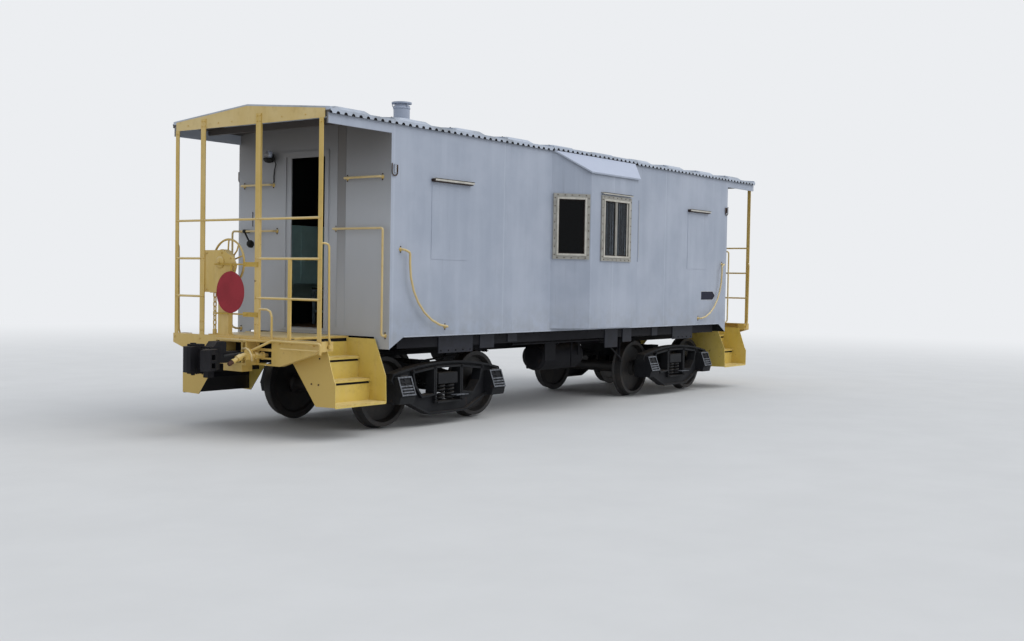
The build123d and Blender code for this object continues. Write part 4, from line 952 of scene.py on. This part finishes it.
# %% Blank plate
x0, x1, tip, z0, z1 = 3.303, 3.698, 3.778, 1.524, 1.656
middle = (z0 + z1) / 2
for name, grow, lift, material in (("side_plate_line", 0.010, 0.002, sign_white),
                                   ("side_plate", 0.0, 0.005, sign_navy)):
    sign = bmesh.new()
    outline = [(x0 - grow, z0 - grow), (x1 + grow / 2, z0 - grow), (tip + grow, middle),
               (x1 + grow / 2, z1 + grow), (x0 - grow, z1 + grow)]
    plate(sign, [(x, SIDE_FACE, z) for x, z in outline], (0, -lift, 0))
    finish_piece(name, sign, material)

# %% [markdown]
# ## Coil springs
# Four nests of two coils carry each end of the car. The CAD holds their room
# as a stack of rings. Seen through the side frame they are wound bars with air
# between the turns, so a helix takes the stack's place. A spring's ends are
# ground flat, and the helix follows that by rising slower towards both ends.

# %% Wound springs
SPRING_LOW, SPRING_HIGH = 0.300, 0.508
SLOWED = 0.35             # share of a spring's rise that slows down at its ends
TURN_STEPS = 14
TRUCKS = (("left", -TRUCK), ("right", TRUCK))


def helix(x, y, radius, bar_radius, turns):
    points = []
    steps = int(turns * TURN_STEPS)
    low, high = SPRING_LOW + bar_radius, SPRING_HIGH - bar_radius
    for step in range(steps + 1):
        share = step / steps
        rise = share * share * (3 - 2 * share) * SLOWED + share * (1 - SLOWED)
        angle = 2 * math.pi * turns * share
        points.append((x + radius * math.cos(angle), y + radius * math.sin(angle),
                       low + (high - low) * rise))
    return points


for side, middle in TRUCKS:
    springs = bmesh.new()
    for x, y in ((-0.086, -1.020), (0.086, -1.020), (-0.086, 1.020), (0.086, 1.020)):
        for radius, bar, turns, sides in ((0.053, 0.0135, 4.2, 8), (0.029, 0.008, 6.2, 6)):
            tube(springs, helix(middle + x, y, radius, bar, turns), bar, sides)
    wound = finish_piece("wound_springs_" + side, springs, cast_black, BLACK, body="truck_" + side)
    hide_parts("springs_" + side)

# %% [markdown]
# ## Journal lids
# A lid is a pressed steel cover, hinged at its top over the slanted face of a
# journal box. Its rim and ribs were picked out in grey against the black, and
# they are the brightest thing on a truck. The rim is a thin band laid on the
# CAD lid's own rim, on the same slanted plane. The frame's bolts follow.

# %% Lid rims
LID_TOP = Vector((0.0, -1.112, 0.642))
LID_HEIGHT, LID_LEAN = 0.240, 0.090


def lid_place(x):
    """X along the car, Y up the slanted lid and Z out of it."""
    middle = LID_TOP + Vector((x, -LID_LEAN / 2, -LID_HEIGHT / 2))
    out = Vector((0, -LID_HEIGHT, LID_LEAN)).normalized()
    along = Vector((1, 0, 0))
    turned = Matrix((along, out.cross(along), out)).transposed().to_4x4()
    return Matrix.Translation(middle) @ turned


for side, middle in TRUCKS:
    rims = bmesh.new()
    for x in (-AXLE_HALF, AXLE_HALF):
        place = lid_place(middle + x)
        for left, low in ((-0.121, -0.117), (0.102, 0.098)):
            slab(rims, (left, -0.117, 0.025), (left + 0.019, 0.117, 0.029), place)
            slab(rims, (-0.102, low, 0.025), (0.102, low + 0.019, 0.029), place)
        for rib in (-0.072, -0.036, 0.0):
            slab(rims, (-0.102, rib - 0.008, 0.021), (0.102, rib + 0.008, 0.0255), place)
    slab(rims, (middle + 0.050, -1.178, 0.361), (middle + 0.285, -1.086, 0.369))
    finish_piece("lid_rims_" + side, rims, lid_grey, BLACK, "far", "truck_" + side, 1.0)

    # Heads on the side frame: box straps, column bolts and the spring plank's ends
    heads = bmesh.new()
    y = -1.088
    straps = [(middle + x, y, 0.735 - abs(x) * 0.07) for x in (-0.66, -0.255, 0.255, 0.66)]
    add_nuts(heads, straps, ASIDE, 0.020)
    columns = [(middle + x, y, z) for x in (-0.255, 0.255) for z in (0.345, 0.300)]
    add_nuts(heads, columns, ASIDE, 0.017)
    boxes = [(middle + x + shift, y, 0.335) for x in (-AXLE_HALF, AXLE_HALF) for shift in (-0.140, 0.140)]
    add_nuts(heads, boxes, ASIDE, 0.018)
    finish_piece("frame_bolts_" + side, heads, cast_black, BLACK, "far", "truck_" + side)

# %% [markdown]
# ## Brake rods
# Below the floor a cylinder pulls a lever, and long rods carry the pull to the
# trucks. A rod is a round bar with a forged jaw and a pin at each end. The
# rods stay on the car and end just short of the levers on the trucks, so that
# a truck can swing without touching them.

# %% Rods and jaws
ROD_Y, ROD_Z = 0.205, 0.770


def jaw(mesh, at, way):
    """A forged fork: two cheeks and a pin through them."""
    place = facing(at, way)
    for side in (-1, 1):
        slab(mesh, (-0.020, side * 0.020 - 0.005, -0.020), (0.020, side * 0.020 + 0.005, 0.075), place)
    slab(mesh, (-0.020, -0.025, -0.030), (0.020, 0.025, -0.008), place)
    pin = place @ Matrix.Translation((0, -0.036, 0.050)) @ Matrix.Rotation(-math.pi / 2, 4, "X")
    lathe(mesh, [(0.011, 0), (0.011, 0.072)], pin, 10)


rods = bmesh.new()
for start, end in (((-0.520, ROD_Y, ROD_Z), (-2.330, ROD_Y, 0.640)),
                   ((-0.455, 0.690, ROD_Z), (0.640, 0.560, 0.800)),
                   ((0.700, 0.180, 0.790), (2.330, ROD_Y, 0.640))):
    start, end = Vector(start), Vector(end)
    tube(rods, [start, (start + end) / 2, end], 0.014, 10)
    jaw(rods, start, start - end)
    jaw(rods, end, end - start)
slab(rods, (0.645, 0.150, 0.784), (0.700, 0.600, 0.808))
slab(rods, (0.655, 0.350, 0.800), (0.690, 0.385, 0.960))
finish_piece("brake_rods", rods, sill_black, BLACK, bevel_mm=1.5)

# %% An upright lever at each brake beam of a truck, and the rod that joins them
for side, middle in TRUCKS:
    levers = bmesh.new()
    for end in (-1, 1):
        x = middle + end * 0.343
        tall = 0.640 if end * middle < 0 else 0.560
        slab(levers, (x - 0.014, 0.150, 0.300), (x + 0.014, 0.178, tall))
    tube(levers, [(middle + x, 0.164, 0.320) for x in (-0.343, 0.0, 0.343)], 0.014, 10)
    finish_piece("truck_levers_" + side, levers, cast_black, BLACK, "", "truck_" + side, 1.5)

# %% [markdown]
# ## Pipes and rivets at the sill
# A thin line droops from the train pipe to the next bearer, and a branch drops
# to the reservoir. Both are iron pipe, bent cold, with a nut at each union. A
# row of rivets holds the sill, and each bolster's plate has its own.

# %% Branch pipes
pipes = bmesh.new()
y = -1.040
droop = ((0.560, 0.985), (0.640, 0.930), (0.896, 0.844), (1.060, 0.740), (1.213, 0.651))
tube(pipes, [(x, y, z) for x, z in droop] + [(1.240, y + 0.010, 0.600)], 0.011)
riser = ((-0.900, 0.930), (-0.860, 0.900), (-0.760, 0.860), (-0.700, 0.800))
tube(pipes, [(-0.20, across, z) for across, z in riser], 0.013)
lathe(pipes, [(0.022, 0), (0.022, 0.030)], facing((-0.20, -0.905, 0.918), ABOVE), 6)
slab(pipes, (0.545, y - 0.020, 0.975), (0.580, y + 0.060, 0.990))
slab(pipes, (1.222, y - 0.020, 0.590), (1.258, y + 0.045, 0.604))
slab(pipes, (1.236, y + 0.020, 0.595), (1.246, y + 0.060, 0.990))
finish_piece("branch_pipes", pipes, sill_black, BLACK)

# %% Rivets on the side sills
rivets = bmesh.new()
for x in spaced(-3.85, 3.85, 0.19):
    screw(rivets, (x, -1.180, 1.085), ASIDE, 0.011, 0.007)
for start in (-3.207, 2.547):
    for x in spaced(start + 0.05, start + 0.61, 0.14):
        screw(rivets, (x, -1.192, 0.925), ASIDE, 0.012, 0.007)
finish_piece("sill_rivets", rivets, sill_black, BLACK, "far")

# %% [markdown]
# ## Roof fastenings
# A row of bolts holds each seam cap, and a lead washer under each head has
# bled a little rust. The caps follow the slope, so a place is found on the
# slope first, and the bolt stands square to it. The chimney has two bands, and
# three straps hold its cap.

# %% Bolts on the seam caps
RIDGE_RISE = 0.115
CAP_TOP = EAVE + 0.058    # top of a cap at the roof's edge
bolts = bmesh.new()
slope = Vector((0, RIDGE_RISE, ROOF_EDGE_Y)).normalized()
for seam in range(1, 10):
    for y in spaced(0.08, 1.24, 0.19):
        at = (seam * PANEL - ROOF_HALF, -y, CAP_TOP + RIDGE_RISE * (1 - y / ROOF_EDGE_Y))
        screw(bolts, at, (0, -slope.y, slope.z), 0.012, 0.009)
finish_piece("cap_bolts", bolts, bolt_steel, "roof_enamel", "far")

# %% Chimney bands
bands = bmesh.new()
x, y = -2.990, -0.350
for low in (3.760, 3.900):
    outline = [(0.1025, 0), (0.108, 0.002), (0.108, 0.020), (0.1025, 0.022)]
    lathe(bands, outline, facing((x, y, low), ABOVE), 32)
for turn in (20, 140, 260):
    along, across = math.cos(math.radians(turn)), math.sin(math.radians(turn))
    profile = ((0.104, 3.915), (0.118, 3.945), (0.118, 3.968))
    tube(bands, [(x + along * radius, y + across * radius, z) for radius, z in profile], 0.006, 6)
finish_piece("chimney_bands", bands, trim_paint)

# %% [markdown]
# ## Hand brake fittings
# The housing is a casting with a bolted cover, a ratchet on the wheel's shaft
# and a pawl that a foot can kick over. The ratchet's teeth are worked out by a
# loop, since all are alike.

# %% Cover bolts, ratchet, pawl and hub
HUB_Y, HUB_Z = 0.425, 1.937
BRAKE_FACE = -5.185       # front of the housing's plate
TEETH, TOOTH_FOOT, TOOTH_TIP = 18, 0.085, 0.097
brake = bmesh.new()
on_cover = ((0.665, 1.625), (0.665, 2.045), (0.400, 2.045), (0.250, 1.985), (0.194, 1.900),
            (0.232, 1.804), (0.360, 1.694), (0.360, 1.622))
add_nuts(brake, [(BRAKE_FACE, y, z) for y, z in on_cover], AHEAD, 0.013)
outline = []
for tooth in range(TEETH):
    for share, reach in ((0.0, TOOTH_FOOT), (0.75, TOOTH_TIP)):
        angle = 2 * math.pi * (tooth + share) / TEETH
        outline.append((-5.089, HUB_Y + reach * math.sin(angle), HUB_Z + reach * math.cos(angle)))
plate(brake, outline, (0.006, 0, 0))
slab(brake, (-5.089, 0.300, 2.000), (-5.078, 0.345, 2.028))
tube(brake, [(-5.083, 0.310, 2.020), (-5.085, 0.255, 2.075), (-5.085, 0.235, 2.130)], 0.009)
hub = [(0.070, 0), (0.070, 0.008), (0.050, 0.014), (0.024, 0.020)]
lathe(brake, hub, facing((BRAKE_FACE, HUB_Y, HUB_Z), AHEAD), 20)
add_nuts(brake, [(BRAKE_FACE - 0.018, HUB_Y, HUB_Z)], AHEAD, 0.018)
finish_piece("hand_brake_fittings", brake, yellow_worn, YELLOW, "end")

# %% [markdown]
# ## Hose ends
# The brake pipe stops at its cock, which a trainman turns by a bent strap, and
# what is left of the rubber hose sticks out of it, brown and cracked. It is far
# too short to hang, so it is a turned stub with the swaged ferrule that grips it.

# %% Hose stubs and cock handles
start = Vector((-5.597, -0.312, 0.8585))
hose_end = facing(start, Vector((-0.130, 0.012, -0.066)).normalized())
stub = bmesh.new()
outline = [(0.024, 0.0), (0.026, 0.012), (0.023, 0.030), (0.025, 0.048), (0.023, 0.070), (0.018, 0.078)]
lathe(stub, outline, hose_end, 16)
finish_piece("hose_stubs", stub, hose_rubber, BLACK, "end")
ferrule = bmesh.new()
lathe(ferrule, [(0.028, -0.004), (0.030, 0.004), (0.030, 0.012), (0.027, 0.018)], hose_end, 16)
finish_piece("hose_ferrules", ferrule, worn_nose, BLACK, "end")
handle = bmesh.new()
bent = ((-0.262, 0.985), (-0.330, 0.994), (-0.379, 0.971), (-0.414, 0.925), (-0.428, 0.860))
tube(handle, [(-5.440, y, z) for y, z in bent], 0.011)
finish_piece("cock_handles", handle, yellow_faded, YELLOW, "end")

# %% [markdown]
# ## Door furniture
# Each door swings into the cabin. It has a putty bead round its pane and a
# lock plate behind the knob, and both ride on the door.

# %% Beads and lock plates
DOOR_PIN = Vector((-4.121, -0.238, 0))
LEAF_THICK = 0.040
for side, turn in (("left", 0.0), ("right", math.pi)):
    beads = bmesh.new()
    plates = bmesh.new()
    place = Matrix.Translation(DOOR_PIN + Vector((0.325, 0, 0)))
    for face, out in ((0.0, -1), (LEAF_THICK, 1)):
        back, front = sorted((face - out * 0.004, face + out * 0.006))
        band(beads, 0.185, 2.300, 3.060, -0.012, 0.004, back, front, place)
        y = DOOR_PIN.y + face
        low, high = sorted((y, y + out * 0.004))
        slab(plates, (DOOR_PIN.x + 0.500, low, 2.050), (DOOR_PIN.x + 0.560, high, 2.200))
    for mesh in (beads, plates):
        bmesh.ops.rotate(mesh, matrix=Matrix.Rotation(turn, 3, "Z"), verts=mesh.verts)
    finish_piece("door_beads_" + side, beads, sash_metal, "door_green", "", "door_" + side, 1.0)
    finish_piece("lock_plates_" + side, plates, brass, "door_green", "", "door_" + side)

# %% [markdown]
# ## Floor and light
# The picture was taken under an overcast sky: light from all over, a little
# more from above and from the near side, and soft shadows. A pale world gives
# the first and a wide sun the second. The lamps are kept at a level where a
# colour renders about as it is written. The floor is pale and goes over into
# the background with distance from the car, and keeps the car's shadow.

# %% Floor
BACKDROP = "#eceef1"
FLOOR_SIZE, FADE_START, FADE_END = 240, 9.0, 30.0
bpy.ops.mesh.primitive_plane_add(size=FLOOR_SIZE, location=(0, 0, 0))
floor = bpy.context.object
floor.name = "studio_floor"
ground = Finish("studio_floor", 0.9, "#d5d5d3")
ground.coat("#dadad8", ground.spots(900, 0.2, 0.8))
fade = ground.add("curve", ground.add("length", ground.place), FADE_START, FADE_END)
faded = ground.add("*", fade, ground.add("camera ray"))
glow = ground.add("emission", colour(BACKDROP), 1.0)
joined = ground.add("mix shaders", faded, ground.shader.outputs["BSDF"], glow)
ground.tree.links.new(joined, ground.tree.nodes["Material Output"].inputs["Surface"])
floor.data.materials.append(ground.done())

# %% Sky
SKY_LEVEL, SUN_LEVEL, SUN_SIZE = 0.80, 1.1, 50     # the sun's size in degrees
world = bpy.data.worlds.new("overcast_sky")
bpy.context.scene.world = world
world.use_nodes = True
tree = world.node_tree
sky = tree.nodes["Background"]
sky.inputs["Color"].default_value = colour("#e6ebf4")
sky.inputs["Strength"].default_value = SKY_LEVEL
seen = add(tree, "max", add(tree, "camera ray"), add(tree, "glossy ray"))
seen = add(tree, "max", seen, add(tree, "glass ray"))
backdrop = add(tree, "background", colour(BACKDROP), 1.0)
blend = add(tree, "mix shaders", seen, sky.outputs["Background"], backdrop)
tree.links.new(blend, tree.nodes["World Output"].inputs["Surface"])
print("sky level:", SKY_LEVEL)

# %% Sun behind cloud
lamp = bpy.data.lights.new("sun_behind_cloud", "SUN")
lamp.energy = SUN_LEVEL
lamp.angle = math.radians(SUN_SIZE)
sun = bpy.data.objects.new("sun_behind_cloud", lamp)
bpy.context.scene.collection.objects.link(sun)
sun.rotation_euler = Vector((0.35, -0.75, 1.0)).to_track_quat("Z", "Y").to_euler()
print("sun level:", SUN_LEVEL)

# %% [markdown]
# ## Camera
# The camera's place and lens were worked out from straight edges whose real
# places are known. It stands at eye height, a little over 10 m from the car's
# side and 9 m beyond its left end, and looks along it at a shallow angle.

# %% Camera
EYE = Vector((-14.1129, -10.4003, 1.7897))
YAW, PITCH, ROLL = 0.6396, -0.0340, 0.0172
SENSOR_MM = 36.0
LENS_MM = SENSOR_MM * 1186.91 / 1024     # focal length and width of the picture, in pixels
ahead = Vector((math.cos(PITCH) * math.cos(YAW), math.cos(PITCH) * math.sin(YAW), math.sin(PITCH)))
level = Vector((math.sin(YAW), -math.cos(YAW), 0))
above = level.cross(ahead)
right = level * math.cos(ROLL) + above * math.sin(ROLL)
up = above * math.cos(ROLL) - level * math.sin(ROLL)
lens = bpy.data.cameras.new("camera")
lens.sensor_width = SENSOR_MM
lens.lens = LENS_MM
lens.clip_end = 400
camera = bpy.data.objects.new("camera", lens)
bpy.context.scene.collection.objects.link(camera)
camera.matrix_world = Matrix.Translation(EYE) @ Matrix((right, up, -ahead)).transposed().to_4x4()
bpy.context.scene.camera = camera
bpy.context.scene.view_settings.view_transform = "Standard"
print("lens:", round(LENS_MM, 2), "mm")
